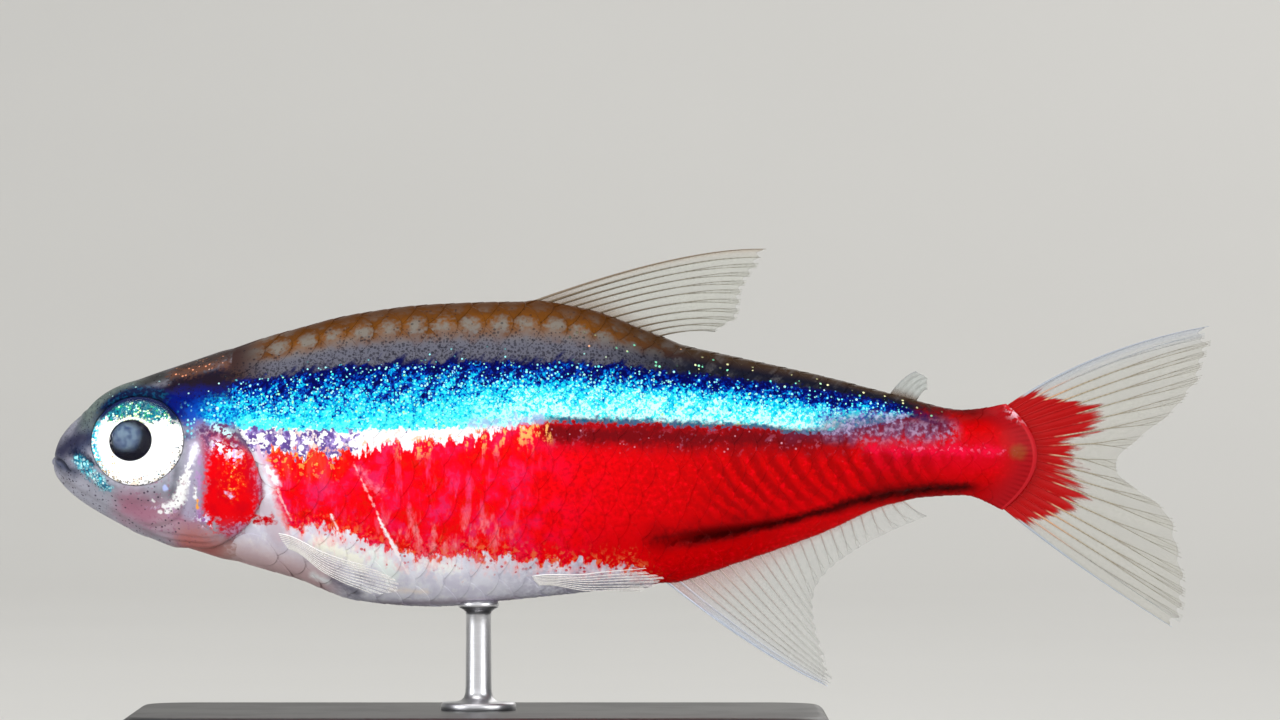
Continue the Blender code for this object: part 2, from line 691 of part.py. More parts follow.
def make_fins(parts, frame):
    """Dorsal, adipose, tail, anal, pectoral and pelvic fins."""
    def on_back(x):
        return (x, top_line(x) + GAP)

    def on_belly(x):
        return (x, belly_line(x) - GAP)

    anal_roots = [(row[0], ANAL_ROOT[0] + (ANAL_ROOT[1] - ANAL_ROOT[0]) * row[0]) for row in ANAL_GUIDES]
    anal_guides = [root + row[1:] for root, row in zip(anal_roots, ANAL_GUIDES)]
    medians = (
        ("dorsal_fin", DORSAL_GUIDES, on_back, DORSAL_RAYS, 8, NOTCH, RAY_RISE),
        ("adipose_fin", ADIPOSE_GUIDES, on_back, ADIPOSE_RAYS, 4, 0.0, 0.0),
        ("caudal_fin", CAUDAL_GUIDES, tail_end, CAUDAL_RAYS, 8, NOTCH, RAY_RISE),
        ("anal_fin", anal_guides, on_belly, ANAL_RAYS, 7, NOTCH, RAY_RISE),
    )
    for name, guides, root_of, rays, rows, notch, rise in medians:
        mesh = fin_mesh(name, median_surface(guides, root_of), rays, rows, notch, rise)
        place_object(name, mesh, parts, frame)
    for side, word in SIDES:
        pectoral = paired_surface(PECTORAL_GUIDES, PECTORAL_FLARE, side)
        mesh = fin_mesh("pectoral_fin_" + word, pectoral, PECTORAL_RAYS, PAIRED_ROWS, PAIRED_NOTCH)
        place_object("pectoral_fin_" + word, mesh, parts, frame)
        pelvic = paired_surface(PELVIC_GUIDES, PELVIC_FLARE, side)
        mesh = fin_mesh("pelvic_fin_" + word, pelvic, PELVIC_RAYS, PAIRED_ROWS, PAIRED_NOTCH)
        place_object("pelvic_fin_" + word, mesh, parts, frame)


def rod_profile():
    """Half outline of the rod over the floor, from its top down to its round foot."""
    low = BASE_SIZE[2] + GAP
    top = AXIS_HEIGHT + belly_line(ROD_X) + ROD_SPARE
    return (
        (0.0, top),
        (ROD_RADIUS, top),
        (ROD_RADIUS, low + 2 * FOOT_HEIGHT),
        (1.2 * ROD_RADIUS, low + 1.3 * FOOT_HEIGHT),
        (0.85 * FOOT_RADIUS, low + FOOT_HEIGHT),
        (FOOT_RADIUS, low + 0.7 * FOOT_HEIGHT),
        (FOOT_RADIUS, low),
        (0.0, low),
    )


def make_stand(parts, cutters, frame):
    """Flat base with rounded corners, and one short rod under the belly."""
    length, width, height = (size * MM for size in BASE_SIZE)
    rod_place = frame.location.x + ROD_X * MM
    shape = bmesh.new()
    bmesh.ops.create_cube(shape, size=1.0)
    bmesh.ops.scale(shape, verts=shape.verts, vec=(length, width, height))
    uprights = [e for e in shape.edges if abs((e.verts[0].co - e.verts[1].co).normalized().z) > 0.9]
    bmesh.ops.bevel(shape, geom=uprights, offset=BASE_CORNER * MM, segments=5, profile=0.5, affect="EDGES")
    mesh = bpy.data.meshes.new("stand_base")
    shape.to_mesh(mesh)
    shape.free()
    base = place_object("stand_base", mesh, parts, None)
    base.location = (rod_place, 0, height / 2)
    edge = base.modifiers.new("edge", "BEVEL")
    edge.width = BASE_BEVEL * MM
    edge.segments = 2
    edge.limit_method = "ANGLE"
    edge.angle_limit = math.radians(50)

    raw = turned_object("raw_rod", rod_profile(), ROD_SIDES, cutters, None)
    raw.hide_render = True
    raw.display_type = "WIRE"
    raw.location = (rod_place, 0, 0)
    clearance = make_cutter("rod_clearance", body_mesh("rod_clearance", GAP), cutters, frame)
    shaft = place_object("stand_rod", carved_mesh(raw, [("DIFFERENCE", clearance)]), parts, None)
    shaft.location = raw.location


def colour_nodes(parts):
    """Give each node its own material."""
    for item in parts.objects:
        kind = "fin" if "_fin" in item.name else item.name.replace("_left", "").replace("_right", "")
        colour, roughness, metallic = COLOURS[kind]
        material = bpy.data.materials.new(item.name)
        material.use_nodes = True
        shader = material.node_tree.nodes["Principled BSDF"]
        shader.inputs["Base Color"].default_value = (*colour, 1.0)
        shader.inputs["Roughness"].default_value = roughness
        shader.inputs["Metallic"].default_value = metallic
        item.data.materials.clear()
        item.data.materials.append(material)


def main():
    """Build the fish and its stand."""
    clear_scene()
    parts = make_collection("cardinal_tetra")
    cutters = make_collection("cutters")
    frame = bpy.data.objects.new("fish_frame", None)
    frame.location = (-TOTAL_LENGTH / 2 * MM, 0, AXIS_HEIGHT * MM)
    parts.objects.link(frame)
    bpy.context.view_layer.update()
    make_flesh(parts, cutters, frame)
    make_eyes(parts, frame)
    make_fins(parts, frame)
    make_stand(parts, cutters, frame)
    parts.objects.unlink(frame)
    cutters.objects.link(frame)
    colour_nodes(parts)


main()
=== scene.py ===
# %% [markdown]
# # Cardinal tetra, a life-size still model
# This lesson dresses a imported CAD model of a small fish. The CAD solids give every size and place, and
# Blender gives the looks: one skin, small overlapping scales, glassy eyes, clear fins with jointed rays,
# and paint that follows the fish's own lines.
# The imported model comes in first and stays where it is. Everything made later is laid over it.

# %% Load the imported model
import math

import bmesh
import bpy
import numpy as np
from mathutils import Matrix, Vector


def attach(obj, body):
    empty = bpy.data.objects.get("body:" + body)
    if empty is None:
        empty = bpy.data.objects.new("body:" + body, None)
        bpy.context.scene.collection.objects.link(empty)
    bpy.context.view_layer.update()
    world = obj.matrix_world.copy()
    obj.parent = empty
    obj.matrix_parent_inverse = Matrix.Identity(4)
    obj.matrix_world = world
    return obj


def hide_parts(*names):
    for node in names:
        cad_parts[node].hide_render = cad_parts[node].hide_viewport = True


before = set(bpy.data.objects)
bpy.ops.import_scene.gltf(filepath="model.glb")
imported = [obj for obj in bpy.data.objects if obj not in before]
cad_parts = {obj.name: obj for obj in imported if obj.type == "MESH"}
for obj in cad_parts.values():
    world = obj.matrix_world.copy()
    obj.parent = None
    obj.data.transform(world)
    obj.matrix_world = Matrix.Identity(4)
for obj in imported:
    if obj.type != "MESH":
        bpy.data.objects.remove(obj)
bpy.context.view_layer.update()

# %% [markdown]
# ## The fish's own frame
# A fish is easiest to describe from its nose. In this script x runs back from the tip of the lower jaw,
# y is across, z is measured from the body axis, and all are millimetres. Two numbers take that frame to
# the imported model's, whose origin is on the table under the middle of the fish.

# %% Units and frame
MM = 0.001
TOTAL_LENGTH = 46.2
NOSE_X = -TOTAL_LENGTH / 2
AXIS_HEIGHT = 13.4
SIDES = ((-1, "left"), (1, "right"))
RNG = np.random.default_rng(20)


def to_world(points):
    """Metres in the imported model's frame from millimetres in the fish's."""
    return (np.asarray(points, float) + np.array((NOSE_X, 0.0, AXIS_HEIGHT))) * MM


print("nose at x =", NOSE_X, "mm, body axis", AXIS_HEIGHT, "mm over the table")

# %% [markdown]
# ## Camera and light
# The photo looks at the fish's left side, square on. The camera stands level with the middle of the frame
# and far enough away for a long lens, so that nothing bulges. A cove, a floor that curves up into a wall,
# gives a plain pale ground with no horizon behind a subject as small as this. The bright soft boxes stand
# well to the sides and overhead, where a flat flank doesn't mirror them into the lens, because their
# reflection would wash out the paint. A very large, dim one behind the camera lifts the belly. The Standard
# view keeps strong reds and blues as strong as they are painted.

# %% Camera
VIEW_WIDTH = 51.2
VIEW_X = 0.356
VIEW_HEIGHT = 17.0
LENS = 250.0
SENSOR = 36.0
VIEW_DISTANCE = VIEW_WIDTH * LENS / SENSOR

camera_data = bpy.data.cameras.new("camera")
camera_data.lens = LENS
camera_data.sensor_width = SENSOR
camera_data.clip_start = 0.01
camera_data.clip_end = 20.0
camera = bpy.data.objects.new("camera", camera_data)
camera.location = Vector((VIEW_X, -VIEW_DISTANCE, VIEW_HEIGHT)) * MM
camera.rotation_euler = (math.radians(90), 0, 0)
bpy.context.scene.collection.objects.link(camera)
bpy.context.scene.camera = camera
bpy.context.scene.view_settings.view_transform = "Standard"
print("camera", round(VIEW_DISTANCE, 1), "mm from the fish")

# %% Soft lights
LIGHTS = (
    # name, place in mm, size in mm, power, colour
    ("key", (-130, -290, 570), (520, 360), 1.7, (1.0, 0.99, 0.97)),
    ("right", (420, -420, 150), (400, 260), 1.4, (1.0, 1.0, 1.0)),
    ("left", (-560, -300, 140), (300, 240), 1.5, (0.97, 0.98, 1.0)),
    ("front", (-60, -760, 235), (1500, 430), 2.4, (1.0, 1.0, 1.0)),
    ("top", (20, 80, 600), (640, 400), 0.9, (1.0, 1.0, 1.0)),
    ("back", (240, 520, 340), (480, 320), 0.8, (1.0, 0.98, 0.96)),
)
AIM = Vector((0, 0, 15)) * MM
SKY_COLOUR, SKY_STRENGTH = (0.80, 0.84, 0.88, 1), 0.16


def soft_light(name, place, size, power, colour):
    """Rectangular lamp that faces the fish."""
    lamp = bpy.data.lights.new(name, "AREA")
    lamp.shape = "RECTANGLE"
    lamp.size, lamp.size_y = size[0] * MM, size[1] * MM
    lamp.energy = power
    lamp.color = colour
    item = bpy.data.objects.new(name, lamp)
    item.location = Vector(place) * MM
    item.rotation_euler = (AIM - item.location).to_track_quat("-Z", "Y").to_euler()
    bpy.context.scene.collection.objects.link(item)


for light in LIGHTS:
    soft_light(*light)

world = bpy.data.worlds.new("studio")
world.use_nodes = True
sky = world.node_tree.nodes["Background"].inputs
sky["Color"].default_value = SKY_COLOUR
sky["Strength"].default_value = SKY_STRENGTH
bpy.context.scene.world = world
print(len(LIGHTS), "soft lights")

# %% Cove
COVE_WIDTH = 1800
COVE_FRONT, COVE_FLAT, COVE_RADIUS, COVE_TOP = -900, 300, 440, 1040


def build_cove():
    """Floor that curves up into a wall behind the fish."""
    turn = [math.radians(angle) for angle in range(0, 91, 3)]
    profile = [(COVE_FRONT, 0.0)]
    profile += [(COVE_FLAT + COVE_RADIUS * math.sin(a), COVE_RADIUS * (1 - math.cos(a))) for a in turn]
    profile.append((COVE_FLAT + COVE_RADIUS, COVE_TOP))
    points = [(side * COVE_WIDTH / 2 * MM, y * MM, z * MM) for y, z in profile for side in (-1, 1)]
    faces = [(2 * k, 2 * k + 1, 2 * k + 3, 2 * k + 2) for k in range(len(profile) - 1)]
    mesh = bpy.data.meshes.new("cove")
    mesh.from_pydata(points, [], faces)
    mesh.polygons.foreach_set("use_smooth", [True] * len(mesh.polygons))
    item = bpy.data.objects.new("cove", mesh)
    bpy.context.scene.collection.objects.link(item)
    return item


cove = build_cove()
print("cove", COVE_WIDTH, "mm wide")

# %% [markdown]
# ## A short way to wire nodes
# A material is a graph of nodes. Written out in full, each node takes four or five lines, so this small
# class gives each kind one short call that returns its output. The output comes as a Value, which takes
# plain signs: each +, -, *, / or ** makes the Math node for it, and | takes the larger of two masks.
# Wherever a value is wanted, a number or a colour will do too.

# %% Wiring helper
def sign(operation, swapped=False):
    """Method that makes the Math node for one sign."""
    def method(self, other):
        return self.wires.math(operation, *((other, self) if swapped else (self, other)))
    return method


class Value:
    """Output of a node; plain signs between Values make Math nodes."""

    def __init__(self, wires, socket):
        self.wires, self.socket = wires, socket

    def __abs__(self):
        return self.wires.math("ABSOLUTE", self)

    __add__, __radd__ = sign("ADD"), sign("ADD", True)
    __sub__, __rsub__ = sign("SUBTRACT"), sign("SUBTRACT", True)
    __mul__, __rmul__ = sign("MULTIPLY"), sign("MULTIPLY", True)
    __truediv__, __pow__, __or__ = sign("DIVIDE"), sign("POWER"), sign("MAXIMUM")


class Wiring:
    """Adds nodes to one tree and returns their outputs."""

    def __init__(self, tree):
        self.tree = tree

    def node(self, kind, **settings):
        made = self.tree.nodes.new("ShaderNode" + kind)
        for key, value in settings.items():
            setattr(made, key, value)
        return made

    def feed(self, socket, value):
        value = getattr(value, "socket", value)
        if isinstance(value, bpy.types.NodeSocket):
            self.tree.links.new(value, socket)
        elif socket.type == "RGBA" and len(value) == 3:
            socket.default_value = (*value, 1.0)
        else:
            socket.default_value = value

    def fed(self, made, inputs, output=0):
        """Feed a node's inputs, by name or number, and give one of its outputs."""
        for key, value in inputs.items():
            self.feed(made.inputs[key], value)
        return Value(self, made.outputs[output])

    def math(self, operation, *values):
        return self.fed(self.node("Math", operation=operation), dict(enumerate(values)))

    def vector(self, operation, *values):
        output = "Value" if operation in ("DOT_PRODUCT", "LENGTH") else "Vector"
        return self.fed(self.node("VectorMath", operation=operation), dict(enumerate(values)), output)

    def scaled(self, vector, factor):
        return self.fed(self.node("VectorMath", operation="SCALE"), {0: vector, "Scale": factor}, "Vector")

    def join(self, x, y, z):
        """Vector from three numbers."""
        return self.fed(self.node("CombineXYZ"), {0: x, 1: y, 2: z})

    def mix(self, share, first, second):
        """Colour between two colours."""
        return self.fed(self.node("Mix", data_type="RGBA"), {0: share, 6: first, 7: second}, 2)

    def between(self, share, first, second):
        """Number between two numbers."""
        return self.fed(self.node("Mix", data_type="FLOAT"), {0: share, 2: first, 3: second})

    def step(self, value, low, high):
        """0 up to low, 1 from high, and a soft rise between."""
        made = self.node("MapRange", interpolation_type="SMOOTHSTEP", clamp=False)
        return self.fed(made, {"Value": value, "From Min": low, "From Max": high})

    def noise(self, scale, detail=2.0, roughness=0.5, stretch=None, place=None):
        """Noise with about scale bumps to a millimetre, on the piece's own coordinates."""
        if place is None:
            place = self.node("TexCoord").outputs["Object"]
            scale = scale / MM
        if stretch is not None:
            place = self.fed(self.node("Mapping"), {"Vector": place, "Scale": stretch}, "Vector")
        made = self.node("TexNoise", noise_dimensions="3D")
        return self.fed(made, {"Vector": place, "Scale": scale, "Detail": detail, "Roughness": roughness})

    def curve(self, value, points, span, reach):
        """Height of a smooth line through the points, for values from 0 to span and heights in reach."""
        share = value / span
        made = self.node("FloatCurve")
        low, high = reach
        line = made.mapping.curves[0]
        while len(line.points) < len(points):
            line.points.new(0.5, 0.5)
        for point, (x, y) in zip(line.points, points):
            point.location = (x / span, (y - low) / (high - low))
            point.handle_type = "AUTO_CLAMPED"
        made.mapping.update()
        return self.math("MULTIPLY_ADD", self.fed(made, {"Value": share}), high - low, low)

    def colours(self, value, stops):
        """Colour ramp through (place, colour) stops."""
        made = self.node("ValToRGB")
        ramp = made.color_ramp
        while len(ramp.elements) < len(stops):
            ramp.elements.new(0.5)
        for element, (place, colour) in zip(ramp.elements, stops):
            element.position = place
            element.color = (*colour, 1.0)
        return self.fed(made, {0: value})

    def attribute(self, name):
        return self.fed(self.node("Attribute", attribute_name=name), {}, "Fac")

    def group(self, tree, **inputs):
        """Place a node group and give its outputs by name."""
        made = self.node("Group", node_tree=tree)
        self.fed(made, inputs)
        return {socket.name: Value(self, socket) for socket in made.outputs}

    def give(self, **outputs):
        """Feed the outputs of the node group that is being wired, and give its tree."""
        for name, value in outputs.items():
            self.feed(self.tree.nodes["Group Output"].inputs[name], value)
        return self.tree


SOCKETS = {"value": "NodeSocketFloat", "colour": "NodeSocketColor", "vector": "NodeSocketVector"}


def new_group(name, outputs, **inputs):
    """Empty node group; gives a Wiring on it and its inputs.

    An input is given by its starting number or colour, or by the word colour or vector. Of the outputs, the
    one called Colour is a colour, and any other is a number.
    """
    tree = bpy.data.node_groups.new(name, "ShaderNodeTree")
    for label, start in inputs.items():
        kind = start if start in SOCKETS else "colour" if isinstance(start, tuple) else "value"
        socket = tree.interface.new_socket(name=label, in_out="INPUT", socket_type=SOCKETS[kind])
        if start != kind:
            socket.default_value = start
    for label in outputs.split():
        kind = "colour" if label == "Colour" else "value"
        tree.interface.new_socket(name=label, in_out="OUTPUT", socket_type=SOCKETS[kind])
    inside = tree.nodes.new("NodeGroupInput").outputs
    tree.nodes.new("NodeGroupOutput")
    w = Wiring(tree)
    return w, *(Value(w, inside[label]) for label in inputs)


print("wiring helper ready")

# %% [markdown]
# ## Glitter, painted sparkle
# A cardinal tetra's stripe shines because its skin is packed with tiny mirrors, each a tenth of a
# millimetre across or less, and each tipped its own way. One could scatter thousands of flakes, but they
# would be smaller than a pixel of any picture. A Voronoi pattern does it in the material: every cell is
# one mirror with its own random values, and only a chosen share of the cells is lit. That sparkle is
# painted light: each lit cell is a painted highlight in the colour, bright whatever the lamps do. The
# same cells serve for the black pigment grains of the back.

# %% Cells and flecks
def build_cells():
    """One Voronoi pattern: distance from the cell's middle and three random values for each cell."""
    w, scale = new_group("Mirror cells", "Distance Luck Shade Tint", Scale=7.0)
    place = w.node("TexCoord").outputs["Object"]
    per_metre = scale / MM
    cells = w.node("TexVoronoi", feature="F1")
    w.feed(cells.inputs["Vector"], place)
    w.feed(cells.inputs["Scale"], per_metre)
    random = w.node("SeparateColor")
    w.feed(random.inputs[0], cells.outputs["Color"])
    luck, shade, tint = random.outputs
    return w.give(Distance=cells.outputs["Distance"], Luck=luck, Shade=shade, Tint=tint)


def build_flecks():
    """Mask that lights a share of the cells, Cover, and draws each as a fleck of the given size."""
    w, distance, luck, cover, size = new_group("Flecks", "Mask", Distance=0.5, Luck=0.5, Cover=0.3, Size=0.5)
    limit = 1.0 - cover
    lit = w.step(luck, limit - 0.02, limit + 0.04)
    inner = size * 0.65
    return w.give(Mask=lit * (1.0 - w.step(distance, inner, size)))


CELLS, FLECKS = build_cells(), build_flecks()
print("groups", CELLS.name, "and", FLECKS.name, "made")

# %% [markdown]
# ## Airbrush
# A taxidermist paints a fish cast with an airbrush, one stroke after another. This group is one stroke:
# paint laid along a straight line from Start to End, as wide as Radius and with a soft edge. Edge takes a
# noise, which makes the border ragged as pigment cells do. The strokes are seen from the side, in x and z,
# so both sides of the fish get the same.

# %% Airbrush group
def build_airbrush():
    """One stroke of paint over a colour."""
    w, under, paint, place, start, end, radius, soft, edge, strength = new_group(
        "Airbrush", "Colour Mask", Under="colour", Paint="colour", Place="vector", Start="vector",
        End="vector", Radius=0.3, Soft=0.1, Edge=0.0, Strength=1.0,
    )
    along = w.vector("SUBTRACT", end, start)
    from_start = w.vector("SUBTRACT", place, start)
    length = w.math("MAXIMUM", w.vector("DOT_PRODUCT", along, along), 0.0001)
    share = w.vector("DOT_PRODUCT", from_start, along) / length
    share = w.math("MINIMUM", w.math("MAXIMUM", share, 0.0), 1.0)
    away = w.vector("LENGTH", w.vector("SUBTRACT", from_start, w.scaled(along, share))) + edge
    low, high = radius - soft, radius + soft
    mask = (1.0 - w.step(away, low, high)) * strength
    return w.give(Mask=mask, Colour=w.mix(mask, under, paint))


AIRBRUSH = build_airbrush()
print("group", AIRBRUSH.name, "made")


class Brush:
    """Airbrush and glitter, in x and z of the fish's own frame."""

    def __init__(self, wires, flat=None, edge=None):
        self.wires, self.flat, self.edge = wires, flat, edge

    def stroke(self, start, end, radius, soft, strength=1.0, ragged=0.0, **colours):
        """Outputs of one stroke: where it starts and ends in x and z, its radius and softness in mm, its
        strength, and how much of the ragged edge it takes.
        """
        edge = self.edge * ragged if ragged else 0.0
        return self.wires.group(
            AIRBRUSH, Place=self.flat, Start=(start[0], 0, start[1]), End=(end[0], 0, end[1]),
            Radius=radius, Soft=soft, Edge=edge, Strength=strength, **colours,
        )

    def mask(self, *stroke):
        """Where one stroke lays paint."""
        return self.stroke(*stroke)["Mask"]

    def cells(self, scale):
        """Mirror cells, about scale of them to a millimetre."""
        return self.wires.group(CELLS, Scale=scale)

    def flecks(self, cells, cover, size=0.5):
        """Where the share cover of the cells is lit, each as a fleck of the size."""
        return self.wires.group(
            FLECKS, Distance=cells["Distance"], Luck=cells["Luck"], Cover=cover, Size=size,
        )["Mask"]


class Coat(Value):
    """A colour that paint is laid on, layer after layer."""

    def __init__(self, ground, brush=None):
        super().__init__(ground.wires, ground.socket)
        self.brush = brush

    def lay(self, mask, paint):
        """Paint over the coat as far as the mask says."""
        self.socket = self.wires.mix(mask, self, paint).socket

    def stroke(self, paint, *stroke):
        """Paint one stroke, given as the brush takes it."""
        self.socket = self.brush.stroke(*stroke, Under=self, Paint=paint)["Colour"].socket

# %% [markdown]
# ## The body as a formula
# The body is a row of cross-sections, the same ones that the CAD solids were made from. Each has a top
# point, a belly point, a half width and a bow. A smooth line through these values gives a section
# anywhere, so the whole skin is one formula of two numbers: the place along the body, and the girth
# angle, from -90 under the belly to 90 on the back.

# %% Body sections
# top line x and z, belly line x and z, half width, and how far the middle bows back
BODY_SECTIONS = np.array((
    (0.05, -0.26, 0.00, -0.60, 0.20, 0.0),
    (0.12, 0.10, 0.04, -0.84, 0.50, 0.0),
    (0.40, 0.66, 0.26, -1.24, 0.88, 0.0),
    (1.20, 1.46, 1.10, -2.03, 1.36, 0.0),
    (2.20, 2.24, 2.20, -2.68, 1.76, 0.0),
    (3.60, 2.88, 3.60, -3.34, 2.12, 0.0),
    (5.30, 3.47, 5.30, -3.98, 2.42, 0.0),
    (7.40, 4.18, 7.40, -4.53, 2.66, 0.0),
    (9.60, 4.84, 9.60, -5.12, 2.80, 0.0),
    (12.20, 5.48, 12.20, -6.05, 2.88, 0.0),
    (15.20, 5.85, 15.20, -6.28, 2.80, 0.0),
    (18.40, 5.95, 18.40, -6.00, 2.60, 0.0),
    (21.30, 5.54, 21.30, -5.70, 2.34, 0.0),
    (24.40, 4.42, 24.40, -5.32, 2.02, 0.0),
    (27.50, 3.70, 27.50, -4.38, 1.68, 0.0),
    (30.60, 3.02, 30.60, -3.28, 1.35, 0.0),
    (33.80, 2.20, 33.80, -2.02, 1.06, 0.1),
    (36.40, 1.63, 36.40, -1.83, 0.80, 0.4),
    (38.10, 1.85, 37.95, -2.40, 0.27, 1.3),
))
PLACES = (BODY_SECTIONS[:, 0] + BODY_SECTIONS[:, 2]) / 2
BACK_ROUNDNESS = 0.92
BELLY_ROUNDNESS = 1.08


def smooth(xs, ys, at):
    """Smooth curve through the given values that never overshoots them, read at an array of places."""
    xs, ys = np.asarray(xs, float), np.asarray(ys, float)
    steps = np.diff(xs)
    slopes = np.diff(ys) / steps
    tangents = np.concatenate(([slopes[0]], np.zeros(len(xs) - 2), [slopes[-1]]))
    for i in range(1, len(xs) - 1):
        if slopes[i - 1] * slopes[i] > 0:
            before = 2 * steps[i] + steps[i - 1]
            after = steps[i] + 2 * steps[i - 1]
            tangents[i] = (before + after) / (before / slopes[i - 1] + after / slopes[i])
    at = np.clip(np.asarray(at, float), xs[0], xs[-1])
    cell = np.clip(np.searchsorted(xs, at, side="right") - 1, 0, len(steps) - 1)
    width = steps[cell]
    t = (at - xs[cell]) / width
    return (
        (1 + 2 * t) * (1 - t) ** 2 * ys[cell]
        + t * (1 - t) ** 2 * width * tangents[cell]
        + t * t * (3 - 2 * t) * ys[cell + 1]
        + t * t * (t - 1) * width * tangents[cell + 1]
    )


def body_point(place, angle):
    """Points of the body on the side of +y, for arrays of places and girth angles that broadcast."""
    place, angle = np.broadcast_arrays(np.asarray(place, float), np.asarray(angle, float))
    x_top, z_top, x_belly, z_belly, half_width, bow = (
        smooth(PLACES, BODY_SECTIONS[:, column], place) for column in range(6)
    )
    level = np.sin(np.radians(angle))
    share = (level + 1) / 2
    roundness = np.where(level > 0, BACK_ROUNDNESS, BELLY_ROUNDNESS)
    across = half_width * np.clip(np.cos(np.radians(angle)), 0, None) ** roundness
    x = x_belly + (x_top - x_belly) * share + bow * (1 - level * level)
    z = z_belly + (z_top - z_belly) * share
    return np.stack((x, across, z), axis=-1)


def body_normal(place, angle):
    """Outward directions there."""
    step = 0.05
    along = body_point(place + step, angle) - body_point(place - step, angle)
    around = body_point(place, np.minimum(angle + 1, 90)) - body_point(place, np.maximum(angle - 1, -90))
    normal = np.cross(around, along)
    normal[..., 1] = np.where(np.abs(angle) > 89.9, 0.0, normal[..., 1])
    return normal / np.linalg.norm(normal, axis=-1)[..., None]


def top_line(x):
    """Height of the back over the axis."""
    return smooth(BODY_SECTIONS[:, 0], BODY_SECTIONS[:, 1], x)


def belly_line(x):
    """Height of the belly under the axis, negative."""
    return smooth(BODY_SECTIONS[:, 2], BODY_SECTIONS[:, 3], x)


def rise(value, low, high):
    """0 up to low, 1 from high, and a soft rise between, for arrays."""
    t = np.clip((np.asarray(value, float) - low) / (high - low), 0, 1)
    return t * t * (3 - 2 * t)


def bump(value, width):
    """Bell of height 1 at 0."""
    return np.exp(-((np.asarray(value, float) / width) ** 2))


print("deepest body section, mm:", round(float(np.max(BODY_SECTIONS[:, 1] - BODY_SECTIONS[:, 3])), 2))

# %% [markdown]
# ## Lines drawn on the body
# A mouth, the edge of a gill cover or a crease is a line on the skin. Each is a few points in x and z, seen
# from the side. This function tells for every skin point how far it is from such a line, on which side,
# and how far along it, which is all that a groove, a lip or a free edge needs.

# %% Distance to a line
def line_field(x, z, points, steps=60):
    """Signed distance to a smooth line, positive on its left as it runs, and the share along it."""
    points = np.asarray(points, float)
    knots = np.concatenate(([0.0], np.cumsum(np.linalg.norm(np.diff(points, axis=0), axis=1))))
    at = np.linspace(0, knots[-1], steps)
    line = np.stack((smooth(knots, points[:, 0], at), smooth(knots, points[:, 1], at)), axis=1)
    best = np.full(np.shape(x), 1e9)
    side = np.ones(np.shape(x))
    place = np.zeros(np.shape(x))
    for i in range(steps - 1):
        start, run = line[i], line[i + 1] - line[i]
        t = np.clip(((x - start[0]) * run[0] + (z - start[1]) * run[1]) / (run @ run), 0, 1)
        dx, dz = x - start[0] - t * run[0], z - start[1] - t * run[1]
        away = np.hypot(dx, dz)
        nearer = away < best
        best = np.where(nearer, away, best)
        side = np.where(nearer, np.where(run[0] * dz - run[1] * dx >= 0, 1.0, -1.0), side)
        place = np.where(nearer, (i + t) / (steps - 1), place)
    return best * side, place


MOUTH_LINE = ((0.03, -0.30), (0.14, -0.32), (0.32, -0.38), (0.52, -0.54), (0.78, -0.92))
JAW_BONE_LINE = ((0.62, -0.22), (1.05, -0.62), (1.42, -1.12), (1.62, -1.62), (1.50, -1.92))
JAW_HINGE_LINE = ((1.50, -1.92), (2.30, -2.22), (2.90, -2.75), (3.10, -3.35))
CHEEK_LINE = (
    (5.66, 0.55), (5.5, -0.3), (5.46, -1.2), (5.42, -2.05), (5.0, -2.75), (4.1, -2.98), (3.2, -2.72),
)
COVER_FRONT_LINE = (
    (6.90, 1.15), (6.25, 0.85), (5.92, -0.30), (5.72, -1.60), (5.80, -2.60), (6.20, -3.10), (6.9, -3.3),
)
GILL_LINE = (
    (7.12, 1.45), (7.20, 1.25), (7.45, 0.85), (8.05, -0.20), (8.40, -1.50), (8.10, -2.60), (7.30, -3.40),
    (6.20, -3.88), (4.90, -3.86), (3.80, -3.46),
)
CREASE_LINE = (
    (24.0, -3.98), (25.46, -3.60), (27.46, -3.28), (29.06, -2.92), (31.06, -2.40), (32.66, -1.96),
    (35.06, -1.62), (36.2, -1.56),
)
BRANCHIAL_LINES = (
    ((4.1, -3.18), (5.2, -3.34), (6.3, -3.46), (7.2, -3.22)),
    ((4.0, -3.34), (5.1, -3.58), (6.1, -3.66), (6.9, -3.48)),
)
NOSTRILS = ((1.38, 1.34, 0.13), (1.72, 1.42, 0.17))
EYE_CENTRE = (3.45, 0.38)
EYE_PLANE = 1.80
EYE_RADIUS = 1.82
EYE_YAW, EYE_PITCH = 10.0, 9.0
EYE_WIDE, EYE_HIGH = 1.025, 0.975
print("lines on the head:", 6 + len(BRANCHIAL_LINES))

# %% [markdown]
# ## Relief of the head
# The head carries most of the fine form: thick lips round a short mouth, the jaw bone behind them, two
# nostrils on each side, plates of bone round the eye and on the cheek, and the gill cover with its free
# edge. Sculpting would do it by hand. Here each form is a small formula of the distance to its line, so
# that it can be read and changed.

# %% Head relief
LIP_HEIGHT = 0.085
MOUTH_DEPTH = 0.20
COVER_RISE = 0.09
COAT_DEPTH = 0.075


def eye_axes(side):
    """Centre of the eye's rim plane, its gaze, its direction forward and its direction up."""
    yaw, pitch = math.radians(EYE_YAW), math.radians(EYE_PITCH)
    flat = math.cos(pitch)
    gaze = np.array((-math.sin(yaw) * flat, side * math.cos(yaw) * flat, math.sin(pitch)))
    forward = np.cross((0.0, 0.0, 1.0), gaze) * side
    forward /= np.linalg.norm(forward)
    if forward[0] > 0:
        forward = -forward
    up = np.cross(gaze, forward)
    up = up if up[2] > 0 else -up
    return np.array((EYE_CENTRE[0], side * EYE_PLANE, EYE_CENTRE[1])), gaze, forward, up


def ends(share, reach):
    """1 along a line and a soft fall to 0 over its first and last reach."""
    return rise(share, 0.0, reach) * (1 - rise(share, 1 - reach, 1.0))


